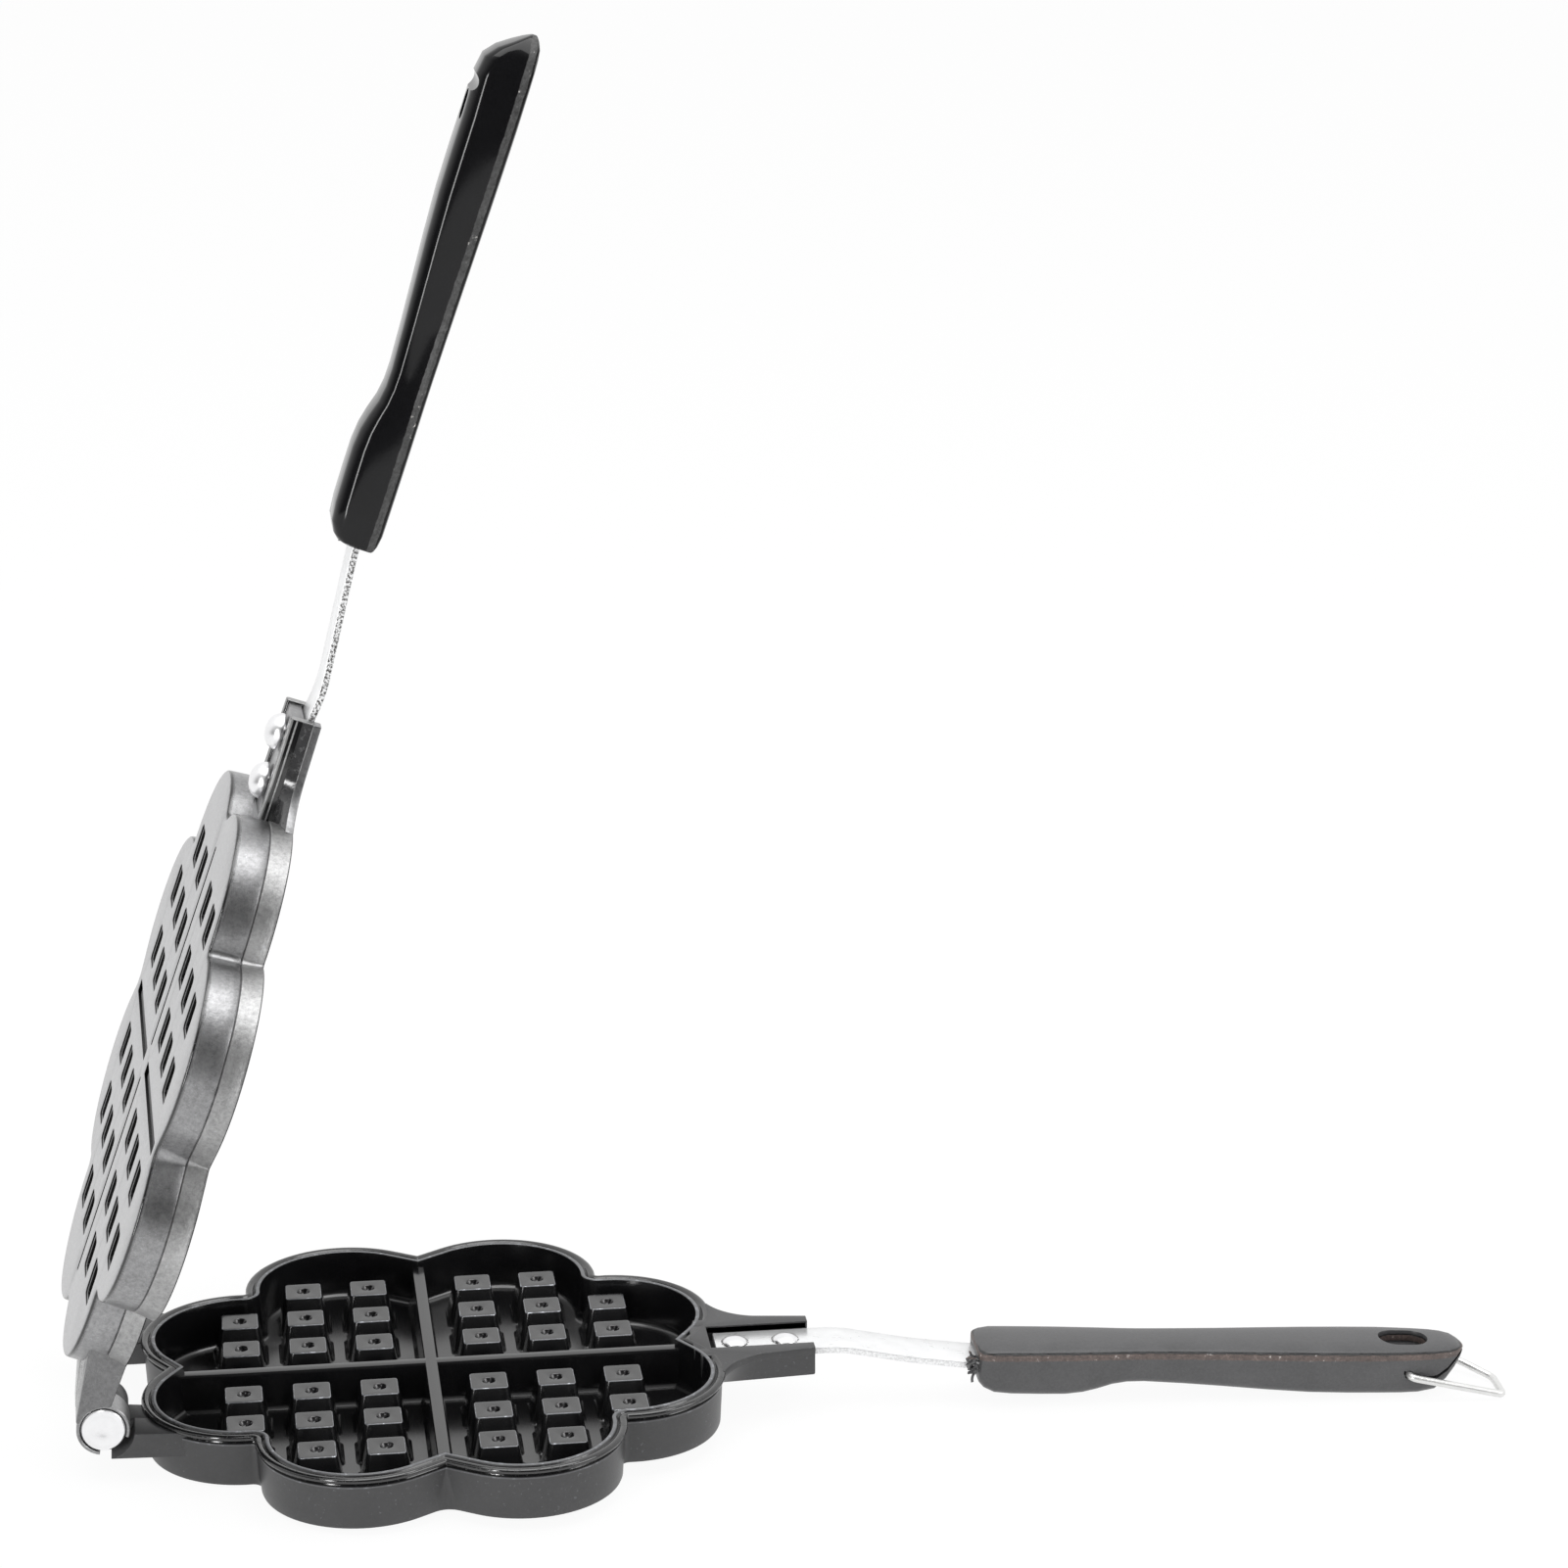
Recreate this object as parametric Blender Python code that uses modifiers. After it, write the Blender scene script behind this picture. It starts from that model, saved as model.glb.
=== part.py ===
"""Stovetop waffle iron: two cast heart-flower pans on strap handles, joined by open hinges and a wire latch."""

from math import atan2, cos, degrees, radians, sin, sqrt

import bmesh
import bpy
from mathutils import Matrix, Vector

# Driving dimensions, in metres. The frame has its origin under the middle of the lower pan,
# on its underside, with X along the handle, the hinge at -X and Z up.
# Each pan is described as the lower one lies. The upper one is the same pan turned over.
GAP = 0.0003
CUT_OVERRUN = 0.001
LID_OPEN_DEG = 70.5
SHARP_ANGLE_DEG = 35.0

# Pan
PAN_HEIGHT = 0.0156
FLOOR_THICKNESS = 0.00195
PARTING_GAP = 0.0003
LOBE_SIDE_X = 0.0534
LOBE_SIDE_Y = 0.0196
LOBE_SIDE_RADIUS = 0.0244
LOBE_END_X = 0.0225
LOBE_END_Y = 0.0500
LOBE_END_RADIUS = 0.0247
CLEFT_RADIUS = 0.0050
NOTCH_LEAN_DEG = 33.0
NOTCH_RADIUS = 0.0004
NOTCH_FOOT_RADIUS = 0.0060
LOBE_STEPS = 8
CLEFT_STEPS = 4
NOTCH_STEPS = 2

# Rim, outwards from the inner edge of the lip
LIP_WIDTH = 0.0011
GROOVE_MIDDLE = 0.0015
GROOVE_DEPTH = 0.0005
BEAD_INNER = 0.0019
BEAD_OUTER = 0.0041
BEAD_HEIGHT = 0.0012
BAND_OFFSET = 0.0028
BAND_HEIGHT = 0.0028
WALL_OFFSET = 0.0032
WALL_LEDGE = 0.0004
WALL_DRAFT = 0.0006
FOOT_RADIUS = 0.0008
INNER_DRAFT = 0.0008
FLOOR_FILLET = 0.0022

# Studs and ribs
STUD_PITCH = 0.0190
STUD_FIRST_X = 0.01536
STUD_FIRST_Y = 0.01526
STUDS_PER_SIDE = 3
STUD_TOP = 0.0104
STUD_FOOT = 0.0145
STUD_HEIGHT = 0.01115
STUD_CORNER = 0.0012
DIMPLE_RADIUS = 0.00175
DIMPLE_DEPTH = 0.0018
DIMPLE_SIDES = 8
RECESS_MOUTH = 0.0108
RECESS_END = 0.0080
RECESS_DEPTH = 0.0095
RIB_HEIGHT = 0.0114
RIB_TOP = 0.0035
RIB_FOOT = 0.0050
SLIT_WIDTH = 0.0012
SLIT_DEPTH = 0.0012
SLIT_REACH = 0.0650
CHANNEL_WIDTH = 0.0035
CHANNEL_DEPTH = 0.0016
CHANNEL_REACH = 0.0620
PAD_HALF_WIDTH = 0.0050

# Bracket that holds the strap
BRACKET_DEPTH = 0.0086
BRACKET_END_X = 0.1089
BRACKET_SHOULDER_X = 0.0910
BRACKET_SHOULDER_HALF = 0.0123
WEB_SHOULDER_HALF = 0.0133
BRACKET_END_HALF = 0.0110
WEB_DEPTH = 0.0050
FLARE_RADIUS = 0.0179
FLARE_START_DEG = 184.0
FLARE_END_DEG = 257.0
FLARE_STEPS = 6
SLOT_START_X = 0.0790

# Strap
STRAP_WIDTH = 0.0140
STRAP_THICKNESS = 0.0020
STRAP_SINK = 0.00205
STRAP_START_X = 0.0800
STRAP_IN_HANDLE = 0.0260
LOWER_KNEE_DROP = 0.0047
UPPER_BEND_X = 0.1060
UPPER_CREST_X = 0.1167
UPPER_CREST_RISE = 0.00125
# The lower strap's bend and knee, as shares of the way from the bracket's end to the grip
LOWER_BEND_SHARE = 0.1684
LOWER_KNEE_SHARE = 0.6050

# Rivets
RIVET_SPACING = 0.0145
RIVET_FIRST_X = 0.0870
RIVET_RADIUS = 0.0025
RIVET_HEAD_RADIUS = 0.0037
RIVET_HEAD_HEIGHT = 0.0013
RIVET_DOME_RADIUS = 0.0052
RIVET_DOME_HEIGHT = 0.0040
RIVET_STEPS = 16
RIVET_ARC_STEPS = 3

# Hinge, whose axis crosses the parting plane over the middle, a little out of square
HINGE_X = -0.0925
HINGE_TILT_DEG = -1.05
HINGE_YAW_DEG = 0.42
HINGE_INNER_Y = 0.0210
HINGE_OUTER_Y = 0.0410
HOOK_LENGTH = 0.0102
PIN_RADIUS = 0.0061
HOOK_RADIUS = 0.0074
KNUCKLE_RADIUS = 0.0070
SEAT_CLEARANCE = 0.0013
HOOK_MOUTH_FROM_DEG = 90.5
HOOK_MOUTH_TO_DEG = 170.5
ARM_DEPTH = 0.0084
ARM_ROOT_DEPTH = 0.0101
ARM_ROOT_X = -0.0780
HINGE_ROOT_X = -0.0660
HINGE_BLOCK_TOP_DROP = 0.0015
HINGE_BLOCK_DEPTH = 0.0085
HINGE_BLOCK_TOE = 0.0021
ROUND_STEPS = 32

# Handle grip, from its mouth to its tip, with its parting edge as its upper plane
GRIP_LENGTH = 0.1445
GRIP_WIDTH = 0.0195
GRIP_DEPTH = 0.0139
GRIP_CROWN = 0.0014
GRIP_STRIP = 0.0012
GRIP_SIDE_DRAFT = 0.0008
GRIP_EDGE_RADIUS = 0.0028
STRAP_UNDER_EDGE = 0.0039
LOWER_GRIP_X = 0.1570
LOWER_GRIP_DROP = 0.0059
LOWER_GRIP_LEAN_DEG = 3.52
UPPER_GRIP_X = 0.1585
UPPER_GRIP_DROP = 0.0010
HANG_HOLE_FROM_TIP = 0.0213
HANG_HOLE_LENGTH = 0.0143
HANG_HOLE_WIDTH = 0.0100
LATCH_GROOVE_FROM_TIP = 0.0160
LATCH_GROOVE_RADIUS = 0.0014
HOLE_SIDES = 12
# Each row: share of the length from the mouth, of the width and of the depth
GRIP_SECTION_SHARES = (
    (0.000, 0.90, 0.68),
    (0.012, 0.96, 0.83),
    (0.035, 1.00, 0.95),
    (0.130, 0.98, 1.00),
    (0.200, 0.95, 1.01),
    (0.245, 0.92, 0.90),
    (0.290, 0.88, 0.75),
    (0.340, 0.85, 0.75),
    (0.500, 0.89, 0.85),
    (0.680, 0.98, 0.97),
    (0.830, 0.98, 0.98),
    (0.885, 0.91, 0.99),
    (0.945, 0.82, 0.95),
    (0.975, 0.62, 0.56),
    (0.993, 0.36, 0.30),
    (1.000, 0.16, 0.18),
)

# The crowned inner face, as shares of the half width and of the crown's height
GRIP_CROWN_SHARES = ((0.55, 1.00), (0.88, 0.62))

# Latch bail
WIRE_RADIUS = 0.0011
WIRE_SINK = 0.0040
BAIL_PIVOT_FROM_TIP = 0.0173
BAIL_PIVOT_DROP = 0.0070
BAIL_HALF_WIDTH = 0.01035
BAIL_LENGTH = 0.0287
BAIL_REST_DEG = -14.2
BAIL_CORNER = 0.0022
BAIL_CORNER_STEPS = 3
# Where the far corner is cut off: share of the length at its outer leg, and of the half width at the crossbar
BAIL_FAR_LEG_SHARE = 0.70
BAIL_FAR_BAR_SHARE = 0.15

SIDES = {"front": -1, "rear": 1}
FLOOR_TOP = FLOOR_THICKNESS
STUD_TOP_Z = FLOOR_TOP + STUD_HEIGHT
HINGE_Z = PAN_HEIGHT + PARTING_GAP / 2
BRACKET_BOTTOM_Z = PAN_HEIGHT - BRACKET_DEPTH
STRAP_TOP_Z = PAN_HEIGHT - STRAP_SINK
SLOT_FLOOR_Z = STRAP_TOP_Z - STRAP_THICKNESS - GAP
KNUCKLE_OUTER_Y = HINGE_OUTER_Y - HOOK_LENGTH - GAP
LOWER_BEND_X = BRACKET_END_X + LOWER_BEND_SHARE * (LOWER_GRIP_X - BRACKET_END_X)
LOWER_KNEE_X = BRACKET_END_X + LOWER_KNEE_SHARE * (LOWER_GRIP_X - BRACKET_END_X)
HANG_HOLE_X = GRIP_LENGTH - HANG_HOLE_FROM_TIP
LATCH_GROOVE_X = GRIP_LENGTH - LATCH_GROOVE_FROM_TIP
BAIL_PIVOT_X = GRIP_LENGTH - BAIL_PIVOT_FROM_TIP


def clear_scene():
    for item in list(bpy.data.objects):
        bpy.data.objects.remove(item)


def make_collection(name):
    collection = bpy.data.collections.new(name)
    bpy.context.scene.collection.children.link(collection)
    return collection


def make_material(name, colour, roughness, metallic):
    material = bpy.data.materials.new(name)
    material.use_nodes = True
    shader = material.node_tree.nodes["Principled BSDF"]
    shader.inputs["Base Color"].default_value = (*colour, 1)
    shader.inputs["Roughness"].default_value = roughness
    shader.inputs["Metallic"].default_value = metallic
    material.diffuse_color = (*colour, 1)
    return material


def make_empty(name, place, parent=None):
    empty = bpy.data.objects.new(name, None)
    parts.objects.link(empty)
    empty.parent = parent
    empty.matrix_local = place
    return empty


def finish_mesh(bm, name):
    """Face the mesh outwards, shade it smooth and write it to mesh data."""
    bmesh.ops.recalc_face_normals(bm, faces=bm.faces)
    mesh = bpy.data.meshes.new(name)
    bm.to_mesh(mesh)
    bm.free()
    mesh.shade_smooth()
    mesh.set_sharp_from_angle(angle=radians(SHARP_ANGLE_DEG))
    return mesh


def add_part(name, mesh, material, parent=None, place=Matrix()):
    part = bpy.data.objects.new(name, mesh)
    part.data.materials.clear()
    part.data.materials.append(material)
    parts.objects.link(part)
    part.parent = parent
    part.matrix_local = place
    return part


def add_tool(name, mesh, parent=None, place=Matrix()):
    """A shape that is only joined to a part or cut from it."""
    tool = bpy.data.objects.new(name, mesh)
    cutters.objects.link(tool)
    tool.parent = parent
    tool.matrix_local = place
    tool.hide_render = True
    tool.display_type = "WIRE"
    return tool


def combine(part, tool, operation):
    boolean = part.modifiers.new(tool.name, "BOOLEAN")
    boolean.operation = operation
    boolean.solver = "EXACT"
    boolean.object = tool


def tapered_box(bm, centre, foot, top, low, high):
    """A box from low to high whose footprint changes from foot to top, each (x, y)."""
    made = bmesh.ops.create_cube(bm, size=1)["verts"]
    for vert in made:
        size = top if vert.co.z > 0 else foot
        height = high if vert.co.z > 0 else low
        vert.co = Vector((centre[0] + vert.co.x * size[0], centre[1] + vert.co.y * size[1], height))
    return made


def cylinder(bm, radius, start, end, steps, end_radius=None):
    start, end = Vector(start), Vector(end)
    along = end - start
    turn = along.to_track_quat("Z", "Y").to_matrix().to_4x4()
    place = Matrix.Translation((start + end) / 2) @ turn
    last = radius if end_radius is None else end_radius
    bmesh.ops.create_cone(
        bm,
        cap_ends=True,
        segments=steps,
        radius1=radius,
        radius2=last,
        depth=along.length,
        matrix=place,
    )


def arc(centre, radius, start_deg, end_deg, steps):
    angles = [radians(start_deg + (end_deg - start_deg) * i / steps) for i in range(steps + 1)]
    return [(centre[0] + radius * cos(a), centre[1] + radius * sin(a)) for a in angles]


def plate_mesh(name, outline, thickness):
    """A flat outline in XY, thickened evenly to both sides of its plane."""
    curve = bpy.data.curves.new(name, "CURVE")
    curve.dimensions = "2D"
    curve.fill_mode = "BOTH"
    curve.extrude = thickness / 2
    spline = curve.splines.new("POLY")
    spline.points.add(len(outline) - 1)
    for point, (x, y) in zip(spline.points, outline):
        point.co = (x, y, 0, 1)
    spline.use_cyclic_u = True
    return mesh_from_curve(name, curve)


def mesh_from_curve(name, curve):
    guide = bpy.data.objects.new(name, curve)
    cutters.objects.link(guide)
    graph = bpy.context.evaluated_depsgraph_get()
    raw = bpy.data.meshes.new_from_object(guide.evaluated_get(graph))
    bpy.data.objects.remove(guide)
    bm = bmesh.new()
    bm.from_mesh(raw)
    bmesh.ops.remove_doubles(bm, verts=bm.verts, dist=GAP / 100)
    return finish_mesh(bm, name)


def upright():
    """Stands a plate's outline in the XZ plane."""
    return Matrix.Rotation(radians(90), 4, "X")


def loft_mesh(name, rings, ring_closed=False):
    """A skin through rings of equally many points, capped at both ends or joined end to end."""
    bm = bmesh.new()
    loops = [[bm.verts.new(point) for point in ring] for ring in rings]
    followers = loops[1:] + ([loops[0]] if ring_closed else [])
    for loop, following in zip(loops, followers):
        for i, vert in enumerate(loop):
            j = (i + 1) % len(loop)
            bm.faces.new((vert, loop[j], following[j], following[i]))
    if not ring_closed:
        bm.faces.new(reversed(loops[0]))
        bm.faces.new(loops[-1])
    return finish_mesh(bm, name)


def cleft_centre():
    """The centre of the fillet in the cleft between a quarter's two lobes."""
    side = Vector((LOBE_SIDE_X, LOBE_SIDE_Y))
    across = Vector((LOBE_END_X, LOBE_END_Y)) - side
    reach_side = LOBE_SIDE_RADIUS + CLEFT_RADIUS
    reach_end = LOBE_END_RADIUS + CLEFT_RADIUS
    span = across.length
    share = (reach_side**2 - reach_end**2 + span**2) / (2 * span)
    rise = sqrt(reach_side**2 - share**2)
    unit = across / span
    return side + unit * share + Vector((unit.y, -unit.x)) * rise


def heading(start, end):
    return degrees(atan2(end[1] - start[1], end[0] - start[0]))


def flower(offset, height, notch_radius=NOTCH_RADIUS):
    """The pan's outline at a height, moved outwards by offset from the lip's inner edge."""
    lean = radians(NOTCH_LEAN_DEG)
    side = (LOBE_SIDE_X, LOBE_SIDE_Y)
    end = (LOBE_END_X, LOBE_END_Y)
    side_radius = LOBE_SIDE_RADIUS + offset
    end_radius = LOBE_END_RADIUS + offset
    cleft = cleft_centre()
    notch_x = (LOBE_SIDE_X * cos(lean) - LOBE_SIDE_Y * sin(lean) + side_radius + notch_radius) / cos(lean)
    notch_y = (LOBE_END_Y * cos(lean) - LOBE_END_X * sin(lean) + end_radius + notch_radius) / cos(lean)
    quarter = arc((notch_x, 0), notch_radius, 180, 180 - NOTCH_LEAN_DEG, NOTCH_STEPS)
    quarter += arc(side, side_radius, -NOTCH_LEAN_DEG, heading(side, cleft), LOBE_STEPS)
    to_end = heading(cleft, end) - 360
    quarter += arc(cleft, CLEFT_RADIUS - offset, heading(cleft, side), to_end, CLEFT_STEPS)[1:-1]
    quarter += arc(end, end_radius, heading(end, cleft), 90 + NOTCH_LEAN_DEG, LOBE_STEPS)
    quarter += arc((0, notch_y), notch_radius, NOTCH_LEAN_DEG - 90, -90, NOTCH_STEPS)
    half = quarter + [(-x, y) for x, y in reversed(quarter[:-1])]
    whole = half + [(x, -y) for x, y in reversed(half[1:-1])]
    return [(x, y, height) for x, y in whole]


def pan_body_mesh(name):
    wall_top = PAN_HEIGHT - BAND_HEIGHT - WALL_LEDGE
    foot = WALL_OFFSET - WALL_DRAFT
    rings = (
        flower(foot - FOOT_RADIUS, 0, NOTCH_FOOT_RADIUS),
        flower(foot, FOOT_RADIUS, NOTCH_FOOT_RADIUS),
        flower(WALL_OFFSET, wall_top, NOTCH_RADIUS),
        flower(BAND_OFFSET, PAN_HEIGHT - BAND_HEIGHT),
        flower(BEAD_OUTER, PAN_HEIGHT - BEAD_HEIGHT),
        flower(BEAD_OUTER, PAN_HEIGHT),
    )
    return loft_mesh(name, rings)


def cavity_mesh(name):
    rings = (
        flower(-INNER_DRAFT - FLOOR_FILLET, FLOOR_TOP),
        flower(-INNER_DRAFT, FLOOR_TOP + FLOOR_FILLET),
        flower(0, PAN_HEIGHT),
        flower(0, PAN_HEIGHT + CUT_OVERRUN),
    )
    return loft_mesh(name, rings)


def rim_groove_mesh(name):
    high = PAN_HEIGHT + CUT_OVERRUN
    rings = (
        flower(LIP_WIDTH, high),
        flower(GROOVE_MIDDLE, PAN_HEIGHT - GROOVE_DEPTH),
        flower(BEAD_INNER, high),
    )
    return loft_mesh(name, rings, ring_closed=True)


def stud_places():
    """The middle of each stud: a square block in each quarter, without its outer corner."""
    steps = range(STUDS_PER_SIDE)
    for column in steps:
        for row in steps:
            if column + row == 2 * (STUDS_PER_SIDE - 1):
                continue
            x = STUD_FIRST_X + column * STUD_PITCH
            y = STUD_FIRST_Y + row * STUD_PITCH
            for sign_x in (-1, 1):
                for sign_y in (-1, 1):
                    yield sign_x * x, sign_y * y


def stud_mesh(name):
    """The studs, each a tapered block with cut corners, sunk a little into the floor."""
    bm = bmesh.new()
    sunk = FLOOR_THICKNESS / 2
    widen = (STUD_FOOT - STUD_TOP) / STUD_HEIGHT * sunk
    for place in stud_places():
        foot = (STUD_FOOT + widen, STUD_FOOT + widen)
        block = tapered_box(bm, place, foot, (STUD_TOP, STUD_TOP), FLOOR_TOP - sunk, STUD_TOP_Z)
        edges = {edge for vert in block for edge in vert.link_edges}
        corners = [edge for edge in edges if abs(edge.verts[0].co.z - edge.verts[1].co.z) > sunk]
        bmesh.ops.bevel(
            bm,
            geom=corners,
            offset=STUD_CORNER,
            segments=1,
            profile=0.5,
            affect="EDGES",
            material=-1,
        )
    return finish_mesh(bm, name)


def dimple_mesh(name):
    bm = bmesh.new()
    rise = DIMPLE_RADIUS / DIMPLE_DEPTH * CUT_OVERRUN
    for x, y in stud_places():
        tip = (x, y, STUD_TOP_Z - DIMPLE_DEPTH)
        mouth = (x, y, STUD_TOP_Z + CUT_OVERRUN)
        cylinder(bm, 0, tip, mouth, DIMPLE_SIDES, DIMPLE_RADIUS + rise)
    return finish_mesh(bm, name)


def rib_mesh(name, along_x, along_y):
    """One rib through the middle, its ends inside the rim at the notches."""
    bm = bmesh.new()
    sunk = FLOOR_THICKNESS / 2
    foot = (along_x or RIB_FOOT, along_y or RIB_FOOT)
    top = (along_x or RIB_TOP, along_y or RIB_TOP)
    tapered_box(bm, (0, 0), foot, top, FLOOR_TOP - sunk, FLOOR_TOP + RIB_HEIGHT)
    return finish_mesh(bm, name)


def underside_mesh(name):
    """The recess behind each stud, and the two channels that cross under the ribs."""
    bm = bmesh.new()
    spread = (RECESS_MOUTH - RECESS_END) / RECESS_DEPTH * CUT_OVERRUN
    mouth = (RECESS_MOUTH + spread, RECESS_MOUTH + spread)
    for place in stud_places():
        tapered_box(bm, place, mouth, (RECESS_END, RECESS_END), -CUT_OVERRUN, RECESS_DEPTH)
    slit_length = SLIT_REACH - PAD_HALF_WIDTH
    for sign in (-1, 1):
        middle = (sign * (PAD_HALF_WIDTH + slit_length / 2), 0)
        size = (slit_length, SLIT_WIDTH)
        tapered_box(bm, middle, size, size, -CUT_OVERRUN, SLIT_DEPTH)
    open_end = LOBE_END_Y + LOBE_END_RADIUS + WALL_OFFSET
    for start, end in ((PAD_HALF_WIDTH, open_end), (-CHANNEL_REACH, -PAD_HALF_WIDTH)):
        size = (CHANNEL_WIDTH, end - start)
        tapered_box(bm, (0, (start + end) / 2), size, size, -CUT_OVERRUN, CHANNEL_DEPTH)
    return finish_mesh(bm, name)


def bracket_outline():
    """Half the bracket's solid part in plan, from inside the rim to its open end."""
    return [
        (LOBE_SIDE_X + LOBE_SIDE_RADIUS, BRACKET_SHOULDER_HALF),
        (BRACKET_SHOULDER_X, BRACKET_SHOULDER_HALF),
        (BRACKET_END_X, BRACKET_END_HALF),
    ]


def flare_outline():
    """Half the web beside the rim in plan: a hollow curve from the lobe to the bracket's side."""
    touch = radians(FLARE_END_DEG)
    centre_x = BRACKET_SHOULDER_X + FLARE_RADIUS * (1 + cos(touch)) / 2
    centre_y = WEB_SHOULDER_HALF - FLARE_RADIUS * sin(touch) - GAP
    curve = arc((centre_x, centre_y), FLARE_RADIUS, FLARE_START_DEG, FLARE_END_DEG, FLARE_STEPS)
    root = (LOBE_SIDE_X + LOBE_SIDE_RADIUS, curve[0][1])
    return [root] + curve + [(curve[-1][0], BRACKET_END_HALF)]


def both_halves(half):
    return half + [(x, -y) for x, y in reversed(half)]


def slot_mesh(name):
    """The strap's slot, open at the bracket's end and towards the parting plane, and the rivet holes."""
    bm = bmesh.new()
    end = BRACKET_END_X + CUT_OVERRUN
    size = (end - SLOT_START_X, STRAP_WIDTH + 2 * GAP)
    middle = ((end + SLOT_START_X) / 2, 0)
    tapered_box(bm, middle, size, size, SLOT_FLOOR_Z, PAN_HEIGHT + CUT_OVERRUN)
    return finish_mesh(bm, name)


def rivet_places():
    return {"inner": RIVET_FIRST_X, "outer": RIVET_FIRST_X + RIVET_SPACING}


def rivet_hole_mesh(name):
    bm = bmesh.new()
    for x in rivet_places().values():
        low = (x, 0, BRACKET_BOTTOM_Z - CUT_OVERRUN)
        high = (x, 0, PAN_HEIGHT)
        cylinder(bm, RIVET_RADIUS + GAP, low, high, RIVET_STEPS)
    return finish_mesh(bm, name)


def add_pan(name, material, parent, hinge):
    """A pan with its rim, studs, ribs, bracket and the hinge pieces that hinge(pan) adds."""
    pan = add_part(name, pan_body_mesh(name), material, parent)
    block = plate_mesh(f"{name}_bracket", both_halves(bracket_outline()), BRACKET_DEPTH)
    middle = Matrix.Translation((0, 0, PAN_HEIGHT - BRACKET_DEPTH / 2))
    combine(pan, add_tool(f"{name}_bracket", block, parent, middle), "UNION")
    web = plate_mesh(f"{name}_web", both_halves(flare_outline()), WEB_DEPTH)
    middle = Matrix.Translation((0, 0, PAN_HEIGHT - WEB_DEPTH / 2))
    combine(pan, add_tool(f"{name}_web", web, parent, middle), "UNION")
    joined, cut = hinge(name, parent)
    for tool in joined:
        combine(pan, tool, "UNION")
    for suffix, mesh in (("cavity", cavity_mesh), ("rim_groove", rim_groove_mesh)):
        tool = add_tool(f"{name}_{suffix}", mesh(f"{name}_{suffix}"), parent)
        combine(pan, tool, "DIFFERENCE")
    combine(pan, add_tool(f"{name}_studs", stud_mesh(f"{name}_studs"), parent), "UNION")
    rim_middle = WALL_OFFSET / 2
    reach_x = flower(rim_middle, 0)[0][0]
    reach_y = max(y for x, y, z in flower(rim_middle, 0) if abs(x) < GAP)
    rib = rib_mesh(f"{name}_rib_x", 2 * reach_x, 0)
    combine(pan, add_tool(f"{name}_rib_x", rib, parent), "UNION")
    rib = rib_mesh(f"{name}_rib_y", 0, 2 * reach_y)
    combine(pan, add_tool(f"{name}_rib_y", rib, parent), "UNION")
    shapes = (("dimples", dimple_mesh), ("underside", underside_mesh), ("slot", slot_mesh))
    for suffix, mesh in (*shapes, ("rivet_holes", rivet_hole_mesh)):
        tool = add_tool(f"{name}_{suffix}", mesh(f"{name}_{suffix}"), parent)
        combine(pan, tool, "DIFFERENCE")
    for tool in cut:
        combine(pan, tool, "DIFFERENCE")
    return pan


def axis_place(yaw_deg):
    """The middle of the hinge in a pan's own frame, with Y along its axis."""
    turn = Matrix.Rotation(radians(yaw_deg), 4, "Z") @ Matrix.Rotation(radians(HINGE_TILT_DEG), 4, "X")
    return Matrix.Translation((HINGE_X, 0, HINGE_Z)) @ turn


def side_profile(name, outline, width, parent, place):
    """A tool with an outline in the XZ plane of place, width wide along its Y."""
    mesh = plate_mesh(name, outline, width)
    return add_tool(name, mesh, parent, place @ upright())


def round_tool(name, radius, low_y, high_y, sign, parent, axis):
    """A cylinder on the hinge axis, from low_y to high_y on the side that sign gives."""
    bm = bmesh.new()
    cylinder(bm, radius, (0, sign * low_y, 0), (0, sign * high_y, 0), ROUND_STEPS)
    return add_tool(name, finish_mesh(bm, name), parent, axis)


def lower_hinge(name, parent):
    """Two blocks that end in a ring which grips the pin, with a hollow seat for the lid's hook."""
    joined, cut = [], []
    axis = axis_place(HINGE_YAW_DEG)
    root = HINGE_ROOT_X - HINGE_X
    low, high = -HINGE_BLOCK_DEPTH, -HINGE_BLOCK_TOP_DROP
    outline = [(HINGE_BLOCK_TOE, low), (root, low), (root, high), (HINGE_BLOCK_TOE, high)]
    width = HINGE_OUTER_Y - HINGE_INNER_Y
    past_inner = HINGE_INNER_Y - CUT_OVERRUN
    past_outer = HINGE_OUTER_Y + CUT_OVERRUN
    seat_radius = HOOK_RADIUS + SEAT_CLEARANCE
    for side, sign in SIDES.items():
        middle = Matrix.Translation((HINGE_X, sign * (HINGE_INNER_Y + width / 2), HINGE_Z))
        joined.append(side_profile(f"{name}_block_{side}", outline, width, parent, middle))
        tag = f"{name}_ring_{side}"
        joined.append(round_tool(tag, KNUCKLE_RADIUS, HINGE_INNER_Y, KNUCKLE_OUTER_Y, sign, parent, axis))
        tag = f"{name}_seat_{side}"
        cut.append(round_tool(tag, seat_radius, KNUCKLE_OUTER_Y, past_outer, sign, parent, axis))
        tag = f"{name}_bore_{side}"
        cut.append(round_tool(tag, PIN_RADIUS + GAP, past_inner, past_outer, sign, parent, axis))
    return joined, cut


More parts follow.
